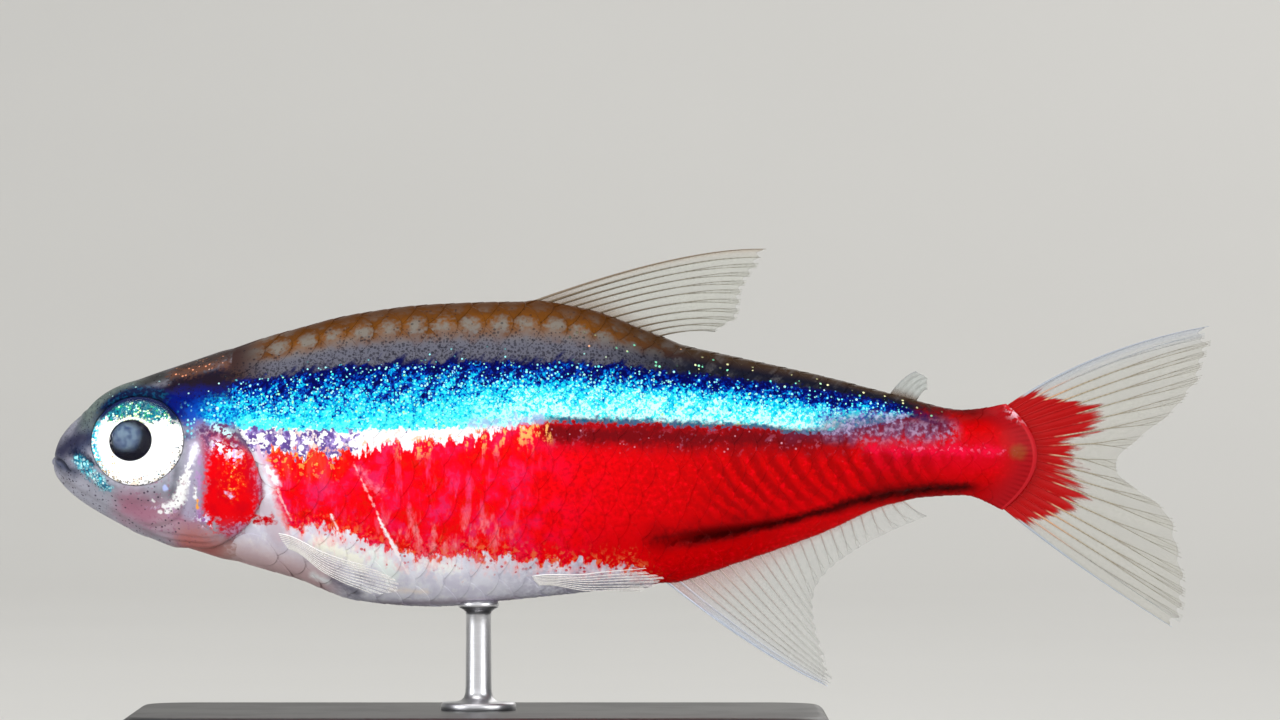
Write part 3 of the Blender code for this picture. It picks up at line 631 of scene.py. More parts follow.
def head_relief(x, z, level):
    """How far the skin stands out, in millimetres, from the plain formula."""
    d, t = line_field(x, z, MOUTH_LINE)
    lips = LIP_HEIGHT * (bump(d - 0.13, 0.11) + 1.1 * bump(d + 0.15, 0.12))
    height = lips * (1 - rise(t, 0.80, 1.0)) * rise(x, 0.03, 0.30)
    height -= MOUTH_DEPTH * bump(d, 0.045) * (1 - rise(t, 0.88, 1.0)) * rise(x, 0.0, 0.14)

    d, t = line_field(x, z, JAW_BONE_LINE)
    height += (0.040 * bump(d + 0.16, 0.13) - 0.050 * bump(d - 0.03, 0.05)) * ends(t, 0.22)
    d, t = line_field(x, z, JAW_HINGE_LINE)
    height -= 0.026 * bump(d, 0.07) * ends(t, 0.25)

    for nostril_x, nostril_z, radius in NOSTRILS:
        away = np.hypot(x - nostril_x, z - nostril_z)
        height += 0.05 * bump(away - radius * 1.15, 0.07) - 0.16 * (1 - rise(away, radius * 0.4, radius))

    around_eye = np.hypot(x - EYE_CENTRE[0], z - EYE_CENTRE[1])
    low = 1 - rise(z, -0.4, 0.9)
    height += 0.03 * bump(around_eye - 2.18, 0.16) - 0.045 * bump(around_eye - 2.52, 0.06) * low
    height += 0.06 * bump(around_eye - 2.15, 0.22) * rise(z, 0.9, 1.8)
    spoke = np.cos(9 * np.arctan2(z - EYE_CENTRE[1], x - EYE_CENTRE[0]) + 1.0)
    height -= 0.020 * rise(spoke, 0.90, 1.0) * bump(around_eye - 2.28, 0.18) * low

    d, t = line_field(x, z, CHEEK_LINE)
    height += (0.040 * bump(d + 0.20, 0.16) - 0.045 * bump(d - 0.02, 0.07)) * ends(t, 0.15)
    d, t = line_field(x, z, COVER_FRONT_LINE)
    height -= 0.042 * bump(d, 0.06) * ends(t, 0.18)
    for line in BRANCHIAL_LINES:
        d, t = line_field(x, z, line)
        height += (0.022 * bump(d - 0.09, 0.06) - 0.034 * bump(d, 0.04)) * ends(t, 0.2)
    height += 0.03 * bump(np.hypot(x - 4.3, z + 2.25), 0.55)
    height += 0.035 * bump(level - 0.93, 0.05) * rise(x, 1.2, 2.0) * (1 - rise(x, 5.0, 6.5))
    return height


def body_relief(points, level):
    """The same for the body: a crease over the anal fin, sheaths at the fins' roots and the vent."""
    x, y, z = points[..., 0], points[..., 1], points[..., 2]
    crease, _ = line_field(x, z, CREASE_LINE)
    height = -0.07 * bump(crease, 0.13) * rise(x, 23.6, 25.4) * (1 - rise(x, 35.4, 36.4))
    height += 0.13 * rise(x, 18.6, 19.4) * (1 - rise(x, 24.2, 25.2)) * bump(y, 0.42) * (level > 0)
    height += 0.11 * rise(x, 24.2, 25.0) * (1 - rise(x, 33.6, 34.6)) * bump(y, 0.38) * (level < 0)
    height += 0.12 * bump(np.hypot(x - 23.75, y), 0.22) * (level < 0)
    return height


def gill_fold(d, fade):
    """Slide back and height of the skin near the gill cover's free edge, by the distance behind it."""
    at = (-2.6, -1.2, -0.45, -0.16, -0.04, 0.02, 0.08, 0.17, 0.28, 0.42, 0.70, 1.1)
    slide = (0.0, 0.0, 0.0, 0.02, 0.05, 0.02, -0.13, -0.18, -0.14, -0.05, 0.0, 0.0)
    height = (0.0, 0.04, COVER_RISE, 0.085, 0.06, 0.01, -0.04, -0.085, -0.075, -0.04, -0.01, 0.0)
    return smooth(at, slide, d) * fade, smooth(at, height, d) * fade


print("coat depth over the body skin:", COAT_DEPTH, "mm")

# %% [markdown]
# ## The skin
# The head, jaw, gill covers, trunk and tail are one animal, so one skin covers them without a seam. It is a
# grid of rings round the body, closest together where the head needs detail. Behind the head it lies a
# little inside the CAD solids, by the depth of the scales that come over it. Near the free edge of the
# gill cover the grid doubles back under itself, so the flap has a real shadow beneath it.

# %% Grid of the skin
RING_HALF = 112
SPACING = (
    (0.0, 0.016), (0.5, 0.034), (1.2, 0.050), (6.0, 0.056), (9.2, 0.062), (11.0, 0.125), (34.5, 0.135),
    (38.0, 0.09),
)
SCALED_FROM = 0.25
# stretches in x over which the scales begin and end and the head's relief fades out
SCALES_BEGIN, SCALES_END, RELIEF_END = (6.6, 7.6), (37.0, 37.9), (8.2, 9.0)
GILL_FADE = 0.07
EYE_PULL = (0.10, 0.95)


def crowded_places():
    """Places of the rings, closer together where the spacing table says."""
    table = np.array(SPACING)
    places = [PLACES[0]]
    while places[-1] < PLACES[-1]:
        places.append(places[-1] + float(np.interp(places[-1], table[:, 0], table[:, 1])))
    places = np.array(places)
    return PLACES[0] + (places - places[0]) * (PLACES[-1] - PLACES[0]) / (places[-1] - places[0])


def skin_half():
    """Grid of skin points on the side of +y, with the relief worked in."""
    places = crowded_places()[:, None]
    angles = np.linspace(-90, 90, RING_HALF + 1)[None, :]
    points = body_point(places, angles)
    normals = body_normal(
        np.broadcast_to(places, points.shape[:2]), np.broadcast_to(angles, points.shape[:2]),
    )
    x, z = points[..., 0], points[..., 2]
    level = np.sin(np.radians(np.broadcast_to(angles, x.shape)))

    behind_gill, gill_place = line_field(x, z, GILL_LINE)
    fade = rise(gill_place, 0.0, GILL_FADE)
    slide, height = gill_fold(behind_gill, fade)
    scaled = rise(behind_gill, SCALED_FROM, SCALED_FROM + 0.5) * rise(x, *SCALES_BEGIN)
    scaled *= 1 - rise(x, *SCALES_END)
    height = height + head_relief(x, z, level) * (1 - rise(x, *RELIEF_END)) - COAT_DEPTH * scaled
    height = height + body_relief(points, level)
    points = points + normals * height[..., None]

    along = np.gradient(body_point(places, angles), axis=0)
    along /= np.linalg.norm(along, axis=-1)[..., None]
    points = points + along * slide[..., None]
    points[:, 0, 1] = 0.0
    points[:, -1, 1] = 0.0
    return places[:, 0], points


def settle_round_eye(points):
    """Draw the skin to the eye's rim, where it rolls in under a thin fold."""
    centre, gaze, forward, up = eye_axes(1)
    away = points - centre
    out = away @ gaze
    radius = np.hypot(away @ forward / EYE_WIDE, away @ up / EYE_HIGH)
    near = (out > -1.2) * (points[..., 1] > 0.05)
    pull = (1 - rise(radius, EYE_RADIUS + EYE_PULL[0], EYE_RADIUS + EYE_PULL[1])) * near
    rim = 0.015 + 0.05 * bump(radius - EYE_RADIUS - 0.16, 0.10)
    return points + gaze * ((rim - out) * pull)[..., None], radius, near


SKIN_PLACES, HALF_SKIN = skin_half()
HALF_SKIN, EYE_AWAY, NEAR_EYE = settle_round_eye(HALF_SKIN)
print("skin grid:", HALF_SKIN.shape[0], "rings of", 2 * RING_HALF)

# %% [markdown]
# ## From grid to closed mesh
# The half grid is mirrored to the other side and its rings are joined. A round hole is cut for each eye:
# the faces inside the rim go, the ragged edge that is left is moved onto a true circle, and a few rings
# inwards close the socket. The map named OFBake lays the rings out flat, length against girth.

# %% Skin mesh
SOCKET_RINGS = ((1.858, -0.03), (1.835, -0.16), (1.64, -0.60), (1.10, -1.00), (0.45, -1.14))
HOLE_RADIUS = EYE_RADIUS + 0.050
NOSE_RINGS = ((0.86, 0.030), (0.62, 0.062), (0.30, 0.085))
SOCKET_TIP, NOSE_TIP = 0.03, 0.006
CAP_STRIP = 0.004


def grow(points, more):
    """Add a loop of points and give their numbers."""
    start = len(points)
    points.extend(more)
    return list(range(start, len(points)))


def join_loops(faces, corners, first, second, flat_first, flat_second):
    """Walls between two loops; their flat places count one more, which closes the turn."""
    for k in range(len(first)):
        following = (k + 1) % len(first)
        faces.append((first[k], first[following], second[following], second[k]))
        corners += [flat_first[k], flat_first[k + 1], flat_second[k + 1], flat_second[k]]


def close_loop(faces, corners, loop, tip, flat, flat_tips):
    """Triangles from a loop to the point at its tip."""
    for k in range(len(loop)):
        faces.append((loop[k], loop[(k + 1) % len(loop)], tip))
        corners += [flat[k], flat[k + 1], flat_tips[k]]


def unwrap(place_share, girth_share):
    """OFBake place of a skin point, from its shares along the body and round it."""
    return np.stack((0.02 + 0.96 * np.asarray(place_share), 0.02 + 0.96 * np.asarray(girth_share)), axis=-1)


def full_rings(half):
    """Rings right round the body, from the belly up the +y side and down the other."""
    mirrored = half[:, -2:0:-1] * np.array((1.0, -1.0, 1.0))
    return np.concatenate((half, mirrored), axis=1)


def open_loop(edges):
    """Vertices of one closed chain of edges, in order."""
    links = {}
    for a, b in edges:
        links.setdefault(a, []).append(b)
        links.setdefault(b, []).append(a)
    first = edges[0][0]
    loop = [first, links[first][0]]
    while True:
        a, b = links[loop[-1]]
        following = b if a == loop[-2] else a
        if following == first:
            return loop
        loop.append(following)


def eye_ring(angle, forward, up):
    """Point of the eye's unit outline, which is a little wider than high."""
    return EYE_WIDE * math.cos(angle) * forward + EYE_HIGH * math.sin(angle) * up


def build_skin():
    """Points, faces, a flat place for each face corner, and each point's shares along and round the body."""
    rings = full_rings(HALF_SKIN)
    rows, ring = rings.shape[:2]
    points = list(rings.reshape(-1, 3))
    shares = (SKIN_PLACES - SKIN_PLACES[0]) / (SKIN_PLACES[-1] - SKIN_PLACES[0])
    inside = full_rings(np.stack((EYE_AWAY, EYE_AWAY, EYE_AWAY), axis=-1))[..., 0]
    near = full_rings(np.stack((NEAR_EYE, NEAR_EYE, NEAR_EYE), axis=-1) * 1.0)[..., 0] > 0.5
    hole = ((inside < HOLE_RADIUS) & near).ravel()
    faces, corners = [], []
    for row in range(rows - 1):
        for step in range(ring):
            a, b = row * ring + step, row * ring + (step + 1) % ring
            quad = (a, a + ring, b + ring, b)
            if hole[list(quad)].any():
                continue
            faces.append(quad)
            corners += [(shares[row + across], (step + around) / ring)
                        for across, around in ((0, 0), (1, 0), (1, 1), (0, 1))]
    used = set()
    for face in faces:
        for a, b in zip(face, face[1:] + face[:1]):
            key = (min(a, b), max(a, b))
            used ^= {key}
    nose = {key for key in used if max(key) < ring}
    tail = {key for key in used if min(key) >= (rows - 1) * ring}
    rims = list(used - nose - tail)
    for side in (1, -1):
        centre, gaze, forward, up = eye_axes(side)
        loop = open_loop([key for key in rims if points[key[0]][1] * side > 0])
        turn = []
        for index in loop:
            away = points[index] - centre
            angle = math.atan2(away @ up / EYE_HIGH, away @ forward / EYE_WIDE)
            turn.append(angle)
            points[index] = centre + HOLE_RADIUS * eye_ring(angle, forward, up) + 0.03 * gaze
        flat = [np.array((shares[index // ring], (index % ring) / ring)) for index in loop]
        flat_centre = np.mean(flat, axis=0)
        flat.append(flat[0])
        before, flat_before = loop, flat
        for radius, depth in SOCKET_RINGS:
            rim = [centre + radius * eye_ring(angle, forward, up) + depth * gaze for angle in turn]
            now = grow(points, rim)
            flat_now = [flat_centre + (place - flat_centre) * radius / HOLE_RADIUS for place in flat]
            join_loops(faces, corners, before, now, flat_before, flat_now)
            before, flat_before = now, flat_now
        points.append(centre + (SOCKET_RINGS[-1][1] - SOCKET_TIP) * gaze)
        close_loop(faces, corners, before, len(points) - 1, flat_before, [flat_centre] * len(before))
    cap_nose(points, faces, corners, list(range(ring)), ring)
    last = [(rows - 1) * ring + step for step in range(ring)]
    cap_flat(faces, corners, last, ring)
    return points, faces, corners


def cap_nose(points, faces, corners, loop, ring):
    """Round off the first ring into the tip of the chin and snout."""
    middle = np.mean([points[index] for index in loop], axis=0)
    flat, flat_now = ([(share, k / ring) for k in range(ring + 1)] for share in (0.0, -CAP_STRIP))
    before = loop
    for shrink, forward in NOSE_RINGS:
        shift = np.array((forward, 0, 0))
        now = grow(points, [middle + (points[index] - middle) * shrink - shift for index in loop])
        join_loops(faces, corners, before, now, flat, flat_now)
        before = now
    points.append(middle - np.array((NOSE_RINGS[-1][1] + NOSE_TIP, 0, 0)))
    flat_tips = [(-2 * CAP_STRIP, (k + 0.5) / ring) for k in range(ring)]
    close_loop(faces, corners, before, len(points) - 1, flat_now, flat_tips)


def cap_flat(faces, corners, loop, ring):
    """Close the last ring with strips from side to side."""
    half = ring // 2
    for step in range(half):
        left = (loop[step], loop[step + 1])
        right = (loop[(ring - step - 1) % ring], loop[(ring - step) % ring])
        face = tuple(dict.fromkeys(left + right))
        faces.append(face)
        corners += [(1.0 + CAP_STRIP * (k % 2), step / ring) for k in range(len(face))]


def stack_faces(rows, count):
    """Faces of a closed stack of rings: its walls, row by row, and its two ends."""
    faces = []
    for row in range(rows - 1):
        a, b = row * count, (row + 1) * count
        faces += [(a + s, a + (s + 1) % count, b + (s + 1) % count, b + s) for s in range(count)]
    return faces + [tuple(range(count))[::-1], tuple((rows - 1) * count + s for s in range(count))]


def make_piece(name, points, faces):
    """Smooth mesh object from millimetre points in the fish's frame."""
    mesh = bpy.data.meshes.new(name)
    mesh.from_pydata(to_world(points).tolist(), [], [tuple(int(i) for i in face) for face in faces])
    mesh.polygons.foreach_set("use_smooth", [True] * len(mesh.polygons))
    mesh.update()
    item = bpy.data.objects.new(name, mesh)
    bpy.context.scene.collection.objects.link(item)
    return item


def turn_outwards(item):
    """Make the normals of a closed mesh point out of it."""
    shape = bmesh.new()
    shape.from_mesh(item.data)
    bmesh.ops.recalc_face_normals(shape, faces=shape.faces)
    shape.to_mesh(item.data)
    shape.free()


def lay_flat(item, places):
    """Give the mesh its OFBake map, one place for each face corner."""
    layer = item.data.uv_layers.new(name="OFBake")
    layer.data.foreach_set("uv", np.asarray(places, np.float32).ravel())


def triangles_of(item):
    """How many triangles the mesh comes to."""
    return sum(len(face.vertices) - 2 for face in item.data.polygons)


skin_points, skin_faces, skin_corners = build_skin()
skin = make_piece("skin", skin_points, skin_faces)
lay_flat(skin, unwrap(*np.asarray(skin_corners, float).T))
turn_outwards(skin)
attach(skin, "root")
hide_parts("head", "lower_jaw", "gill_cover_left", "gill_cover_right", "trunk", "tail")
print("skin triangles:", triangles_of(skin))

# %% [markdown]
# ## Where the colours meet
# The fish's colours lie in bands: an olive and grey back with brown-edged scales, a stripe of glittering
# blue and cyan from the eye to below the adipose fin, a silver and lilac band under its front half, a red
# flank and tail, and a silvery belly. Each border is one smooth line along the body. Seen from the side
# these lines are the same on both sides, so they are read with how far back and how high a point lies.

# %% Borders of the bands
# x and z in mm, from nose to tail
TOP_PROFILE = [(x, z) for x, z in BODY_SECTIONS[1:, :2]]
STRIPE_TOP = (
    (5.0, 2.3), (7.4, 2.76), (9.9, 3.04), (11.3, 3.3), (13.0, 3.42), (17.0, 3.5), (21.8, 3.44), (23.5, 3.26),
    (25.9, 2.97), (28.3, 2.7), (30.0, 2.5), (32.3, 2.13), (33.7, 1.82), (35.0, 1.45),
)
STRIPE_BOTTOM = (
    (5.0, 0.75), (7.4, 0.92), (10.0, 0.8), (14.0, 0.84), (17.0, 0.95), (20.2, 1.12), (22.0, 1.06),
    (26.0, 0.93), (28.3, 0.86), (30.0, 0.66), (31.5, 0.66), (32.4, 0.86), (33.6, 1.1), (35.0, 1.4),
)
RED_TOP = (
    (7.6, 0.1), (8.6, 0.02), (10.6, -0.06), (12.5, 0.1), (14.5, 0.3), (16.0, 0.48), (17.2, 0.68),
    (18.4, 0.95), (20.2, 1.5), (24.0, 1.35), (28.6, 1.2), (31.0, 1.0), (32.4, 1.2), (33.6, 1.6), (34.6, 2.3),
    (36.0, 2.7),
)
RED_BOTTOM = (
    (7.8, -1.70), (8.4, -2.30), (9.0, -3.05), (10.4, -3.20), (11.7, -3.40), (13.1, -3.95), (14.5, -4.32),
    (16.1, -4.28), (17.9, -4.46), (20.2, -4.60), (22.9, -4.80), (23.7, -5.08), (24.4, -5.75), (26.0, -7.40),
)
CREASE_SHADE = (
    (24.0, -4.05), (25.5, -3.60), (27.5, -3.26), (29.1, -2.92), (31.1, -2.40), (32.7, -1.96), (35.1, -1.60),
    (37.0, -1.50),
)
CREASE_WIDTH = (
    (23.4, 0.0), (24.6, 0.26), (26.6, 0.26), (28.2, 0.12), (30.5, 0.14), (33.2, 0.24), (37.5, 0.0),
)
CAUDAL_RED = (0.40, 0.0008, 0.0015)
SPAN = 48.0
REACH = (-8.0, 8.0)
# end of the tail's flesh: how far its middle lies under the axis, half height, bow, and x of its corners
STUMP_DROP, STUMP_HALF, STUMP_BOW, STUMP_END = 0.275, 2.125, 1.3, 38.0
ROOT_STRIPES = 138.0
MUSCLE_BLOCK = 0.77
BANDS = (TOP_PROFILE, STRIPE_TOP, STRIPE_BOTTOM, RED_TOP, RED_BOTTOM, CREASE_SHADE)
print("bands are drawn by", len(BANDS), "lines")

# %% [markdown]
# ## Markings of the body, with painted light
# The colours are built up as a painter would, from the palest ground to the last sparkle. Besides the
# fish's own pattern they hold painted light: painted glints, highlights and sparkle, painted shade in the
# folds of the belly and along the crease over the anal fin, and a brighter rim where the tail's flesh ends.
# Every border is pushed to and fro by noise, because real pigment ends in single cells and not in a line;
# on the flank that noise is drawn out upright, as the pigment runs there. The result is a colour, how much
# of a mirror the skin is there, and the fine grain. Skin and scales use the same group, so a scale's colour
# runs on from the skin beside it. Rim is a value on the scales alone, 0 in the middle of the part that
# shows and 1 at its edge, where the scales of the back are brown.

# %% Paint colours
BELLY_PALE = (0.88, 0.88, 0.97)
BELLY_ROSE = (0.62, 0.40, 0.40)
BELLY_VIOLET = (0.72, 0.70, 0.82)
PEARL = (0.95, 0.95, 0.98)
RED = (0.93, 0.0003, 0.004)
RED_ROSE = (0.93, 0.003, 0.045)
RED_BLACK = (0.055, 0.0003, 0.0005)
OLIVE_GREY = (0.19, 0.165, 0.14)
SLATE_GREY = (0.115, 0.115, 0.150)
BACK_BROWN = (0.13, 0.042, 0.004)
BACK_EDGE = (0.085, 0.026, 0.003)
MELANIN = (0.008, 0.007, 0.014)
CYAN = (0.003, 0.62, 0.84)
PALE_CYAN = (0.42, 0.97, 1.0)
LILAC = (0.42, 0.32, 0.70)
PURPLE = (0.13, 0.07, 0.30)
STRIPE_BLUES = (
    (0.0, (0.0005, 0.0015, 0.07)), (0.2, (0.0005, 0.006, 0.19)), (0.38, (0.0008, 0.05, 0.42)),
    (0.5, (0.001, 0.22, 0.64)), (0.66, (0.003, 0.55, 0.78)), (0.86, (0.02, 0.77, 0.84)),
    (1.0, (0.1, 0.88, 0.92)),
)


def build_body_marks_and_light():
    """Colour with painted light, mirror strength and grain of the body behind the head."""
    w, x, z, rim = new_group("Body markings and painted light", "Colour Mirror Fine", Along=0.0, Up=0.0, Rim=0.0)
    flat = w.join(x, 0.0, z)
    coarse = w.noise(1.3, 2) - 0.5
    fine = w.noise(5.5, 3) - 0.5
    streak = w.noise(1.0, 3, 0.6, (3.0, 3.0, 0.8)) - 0.5
    edge = coarse * 0.5 + fine * 0.7
    brush = Brush(w, flat, edge)
    large, small, tiny = brush.cells(3.0), brush.cells(7.0), brush.cells(12.0)
    oblique = (x - z * 0.85) * 1.9
    patches = w.noise(1.0, 3, 0.6, place=w.join(oblique, 0.0, z * 0.8)) - 0.5

    def line(points):
        return w.curve(x, points, SPAN, REACH)

    top, stripe_top, stripe_bottom = line(TOP_PROFILE), line(STRIPE_TOP), line(STRIPE_BOTTOM)
    red_top, red_bottom, crease = line(RED_TOP), line(RED_BOTTOM), line(CREASE_SHADE)
    front_half = w.step(x, 20.5, 17.5)

    # belly, with painted highlights and painted shade in its folds and underneath
    colour = Coat(w.mix(w.step(coarse, -0.16, 0.16), BELLY_PALE, BELLY_VIOLET), brush)
    colour.lay(w.step(streak, 0.0, 0.22) * 0.6, PEARL)
    colour.lay(w.step(x, 16.5, 20.5), w.mix(w.step(edge, -0.15, 0.2), (0.52, 0.5, 0.62), BELLY_PALE))
    colour.stroke(BELLY_ROSE, (6.6, -4.4), (10.4, -5.4), 0.85, 0.75, 0.9, 0.4)
    colour.stroke((0.62, 0.52, 0.6), (8.5, -2.4), (9.0, -3.5), 0.4, 0.3, 0.9, 0.6)
    # painted highlights on the belly under and behind the pectoral fin
    colour.stroke((1.0, 1.0, 0.88), (10.6, -3.75), (12.2, -4.45), 0.3, 0.28, 1.0, 1.0)
    colour.stroke((0.93, 1.0, 0.97), (12.8, -4.1), (13.5, -4.95), 0.36, 0.3, 1.0, 1.0)
    colour.stroke((1.0, 1.0, 1.0), (14.6, -4.45), (15.9, -4.72), 0.2, 0.2, 1.0, 1.2)
    # painted shade in the folds of the belly
    colour.stroke((0.16, 0.15, 0.21), (11.1, -5.25), (12.1, -5.75), 0.17, 0.26, 0.85, 0.5)
    colour.stroke((0.3, 0.26, 0.34), (12.2, -5.0), (12.7, -5.4), 0.1, 0.2, 0.6, 0.4)
    # painted highlights on the lower edge of the belly
    colour.stroke((0.98, 0.98, 1.0), (10.3, -5.05), (10.9, -5.3), 0.09, 0.16, 0.95, 0.3)
    colour.stroke((1.0, 0.9, 0.84), (13.4, -5.62), (14.9, -5.72), 0.07, 0.12, 0.9, 0.3)
    # painted shade along the underside of the belly
    colour.stroke((0.42, 0.34, 0.42), (12.6, -6.24), (18.5, -6.04), 0.1, 0.16, 0.8, 0.2)

    # red flank, with upright streaks of rose in front and of dark red behind
    red = Coat(w.mix(w.step(coarse, -0.1, 0.2) * w.step(x, 23.0, 18.0), RED, RED_ROSE), brush)
    red.lay(w.step(x, 18.5, 27.0), (0.6, 0.0003, 0.0008))
    red.lay(w.step(streak, 0.02, 0.22) * front_half * w.step(z, -4.4, -1.5), (0.9, 0.035, 0.13))
    low_front = w.step(z, -2.0, -3.4) * w.step(x, 12.5, 14.0) * w.step(x, 19.0, 17.0)
    pink = w.step(streak, -0.02, 0.24) * low_front
    red.lay(pink * 0.6, (0.95, 0.42, 0.42))
    cloud = coarse + fine * 0.8
    red.lay(w.step(cloud, 0.04, 0.24) * front_half * 0.55, (0.82, 0.025, 0.14))
    red.lay(w.step(cloud, -0.08, -0.26) * front_half * 0.6, (0.72, 0.012, 0.002))
    # painted glint: a pale pink streak on the front of the flank
    red.stroke((0.9, 0.3, 0.48), (12.2, -0.8), (13.1, -1.6), 0.06, 0.26, 0.6, 1.4)
    red.lay(w.step(streak, 0.0, -0.22) * (1.0 - front_half) * 0.6, (0.6, 0.0003, 0.002))
    red.lay(w.step(fine, -0.02, 0.16) * w.between(front_half, 0.4, 0.15), (0.42, 0.0003, 0.002))
    # painted highlights: bright red flecks on the rear of the flank
    red.lay(w.step(fine, -0.03, -0.18) * (1.0 - front_half) * 0.5, (0.96, 0.0005, 0.01))
    red.stroke((0.62, 0.0, 0.002), (22.0, -3.9), (36.0, -1.2), 0.6, 0.9, 0.7, 0.8)
    red.stroke((0.15, 0.0015, 0.004), (20.0, 0.66), (31.6, 0.34), 0.46, 0.42, 0.95, 1.2)
    maroon = brush.mask((20.2, 0.46), (33.0, 0.16), 0.4, 0.34, 1.0, 0.8)
    lilac = w.step(patches + fine, 0.1, 0.24) * maroon
    red.lay(lilac * 0.55, w.mix(small["Tint"], (0.24, 0.06, 0.13), (0.42, 0.1, 0.15)))
    red.lay(brush.flecks(small, 0.05, 0.36) * maroon * 0.8, (0.8, 0.36, 0.46))
    red.stroke((0.6, 0.0008, 0.01), (33.0, -0.25), (37.6, -0.2), 0.55, 0.5, 0.9, 0.8)
    # painted glint: a bright red line along the middle of the tail
    red.stroke((0.88, 0.004, 0.05), (32.6, -0.02), (38.0, -0.08), 0.1, 0.26, 0.7, 1.2)
    red.stroke((0.13, 0.012, 0.035), (29.6, 0.85), (35.6, 1.05), 0.42, 0.36, 0.95, 0.8)
    red.stroke((0.1, 0.0008, 0.001), (33.4, 2.1), (38.6, 1.7), 0.66, 0.5, 1.0, 0.8)
    # painted shade along the end of the crease over the anal fin
    red.stroke((0.36, 0.0005, 0.002), (33.0, -1.5), (38.8, -1.7), 0.4, 0.5, 0.8, 0.6)
    level = (z + STUMP_DROP) / STUMP_HALF
    bowed = (1.0 - level ** 2) * STUMP_BOW
    to_end = bowed + STUMP_END - x
    red.lay(w.step(to_end, 1.7, 0.3), (0.37, 0.006, 0.01))
    red.stroke((0.3, 0.05, 0.014), (38.6, -0.1), (38.75, -0.1), 0.26, 0.16, 0.9, 0.3)
    spread = w.math("ARCTAN2", z + 0.1, x - 34.5)
    roots = w.step(w.math("SINE", spread * ROOT_STRIPES), -0.4, 0.9)
    on_stump = roots * w.step(to_end, 0.9, 0.05)
    red.lay(on_stump * 0.5, (0.22, 0.002, 0.004))
    # painted light: the last strip of the flesh brighter, against the shade at its rounded end
    red.lay(w.step(to_end, 0.07, 0.0), (0.52, 0.015, 0.022))
    # painted glints: orange and yellow flecks behind the gill cover and along the top of the red
    shoulder = brush.mask((8.9, -0.25), (10.9, -0.55), 0.5, 0.6, 1.0, 0.9)
    red.lay(w.step(streak, -0.15, 0.15) * shoulder * 0.8, (0.8, 0.05, 0.003))
    red.lay(w.step(fine, 0.06, 0.13) * shoulder, (1.0, 0.42, 0.08))
    glints = brush.mask((14.2, 0.25), (19.6, 0.75), 0.5, 0.4, 1.0, 1.0)
    red.lay(w.step(streak + fine * 0.6, 0.08, 0.18) * glints, (1.0, 0.45, 0.12))

    # muscle blocks show as curved darker lines on the rear of the flank
    drop = -0.1 - z
    lean = drop * (drop * 0.22 + 0.3)
    phase = x - lean + coarse * 0.5 + fine * 0.4
    wave = w.math("SINE", phase * (2 * math.pi / MUSCLE_BLOCK))
    under_axis = z + (x - 30.0) * -0.16
    where = w.step(x, 24.6, 27.5) * w.step(x, 36.6, 34.0) * w.step(z, 0.35, -0.4)
    where = where * w.step(under_axis, -3.0, -1.6)
    red.lay(w.step(wave, -0.9, 1.0) * where * 0.66, (0.26, 0.0005, 0.001))

    # painted shade along the crease over the anal fin, widest at its front
    away = abs(z - crease - edge * 0.36)
    width = w.curve(x, CREASE_WIDTH, SPAN, (0, 1))
    red.stroke((0.14, 0.0005, 0.001), (24.0, -3.55), (28.6, -2.95), 0.26, 0.55, 0.95, 1.3)
    shade = 1.0 - w.step(away, 0.0, width * 1.3 + 0.2)
    red.lay(shade * w.step(width, 0.0, 0.1) * w.step(x, 23.3, 26.4), RED_BLACK)

    # where the red ends
    over_belly = z - red_bottom + streak * 1.8 + fine * 0.55
    under_top = red_top - z + streak * front_half * 2.1 + fine * 0.55
    behind = x - 8.5 + (z + 0.6) * 0.3 + edge * 0.9
    in_red = w.step(over_belly, -0.08, 0.16) * w.step(under_top, -0.08, 0.1) * w.step(behind, -0.25, 0.3)
    low = w.step(over_belly, 1.0, 0.1) * w.step(x, 26.0, 23.0)
    red.lay(low * w.step(fine, 0.0, 0.14) * 0.7, (0.95, 0.2, 0.06))
    red.lay(low * w.step(fine, -0.05, -0.16) * 0.6, (0.45, 0.001, 0.003))
    near_red = w.step(over_belly, -0.75, -0.05) * w.step(x, 8.6, 9.8) * w.step(x, 26.0, 24.0)
    colour.lay(near_red * w.step(streak, -0.2, 0.15) * 0.55, (0.96, 0.5, 0.52))
    grains = brush.flecks(small, 0.12, 0.55) * w.step(over_belly, -0.75, -0.2) * w.step(x, 9.4, 11.5)
    colour.lay(grains * 0.85, (0.62, 0.004, 0.012))
    colour.lay(in_red, red)

    # red corner behind the gill cover and pale streaks of the ribs' sheaths
    colour.stroke((0.62, 0.001, 0.006), (8.15, -2.85), (8.65, -2.78), 0.13, 0.1, 1.0, 0.9)
    for start, end, radius, strength in (
        ((12.05, -0.6), (13.0, -2.6), 0.014, 0.50), ((13.0, -2.7), (14.15, -4.95), 0.050, 1.0),
        ((11.1, -2.6), (11.6, -3.7), 0.022, 0.85), ((8.95, -1.6), (9.50, -2.8), 0.050, 0.55),
    ):
        colour.stroke((1.0, 0.9, 0.92), start, end, radius, 0.045, strength, 0.35)
    colour.stroke((0.74, 0.5, 0.7), (8.15, 0.1), (8.95, -1.3), 0.12, 0.14, 0.9, 0.7)
    colour.stroke((1.0, 0.97, 1.0), (8.55, -0.65), (8.95, -1.3), 0.07, 0.07, 1.0, 0.7)
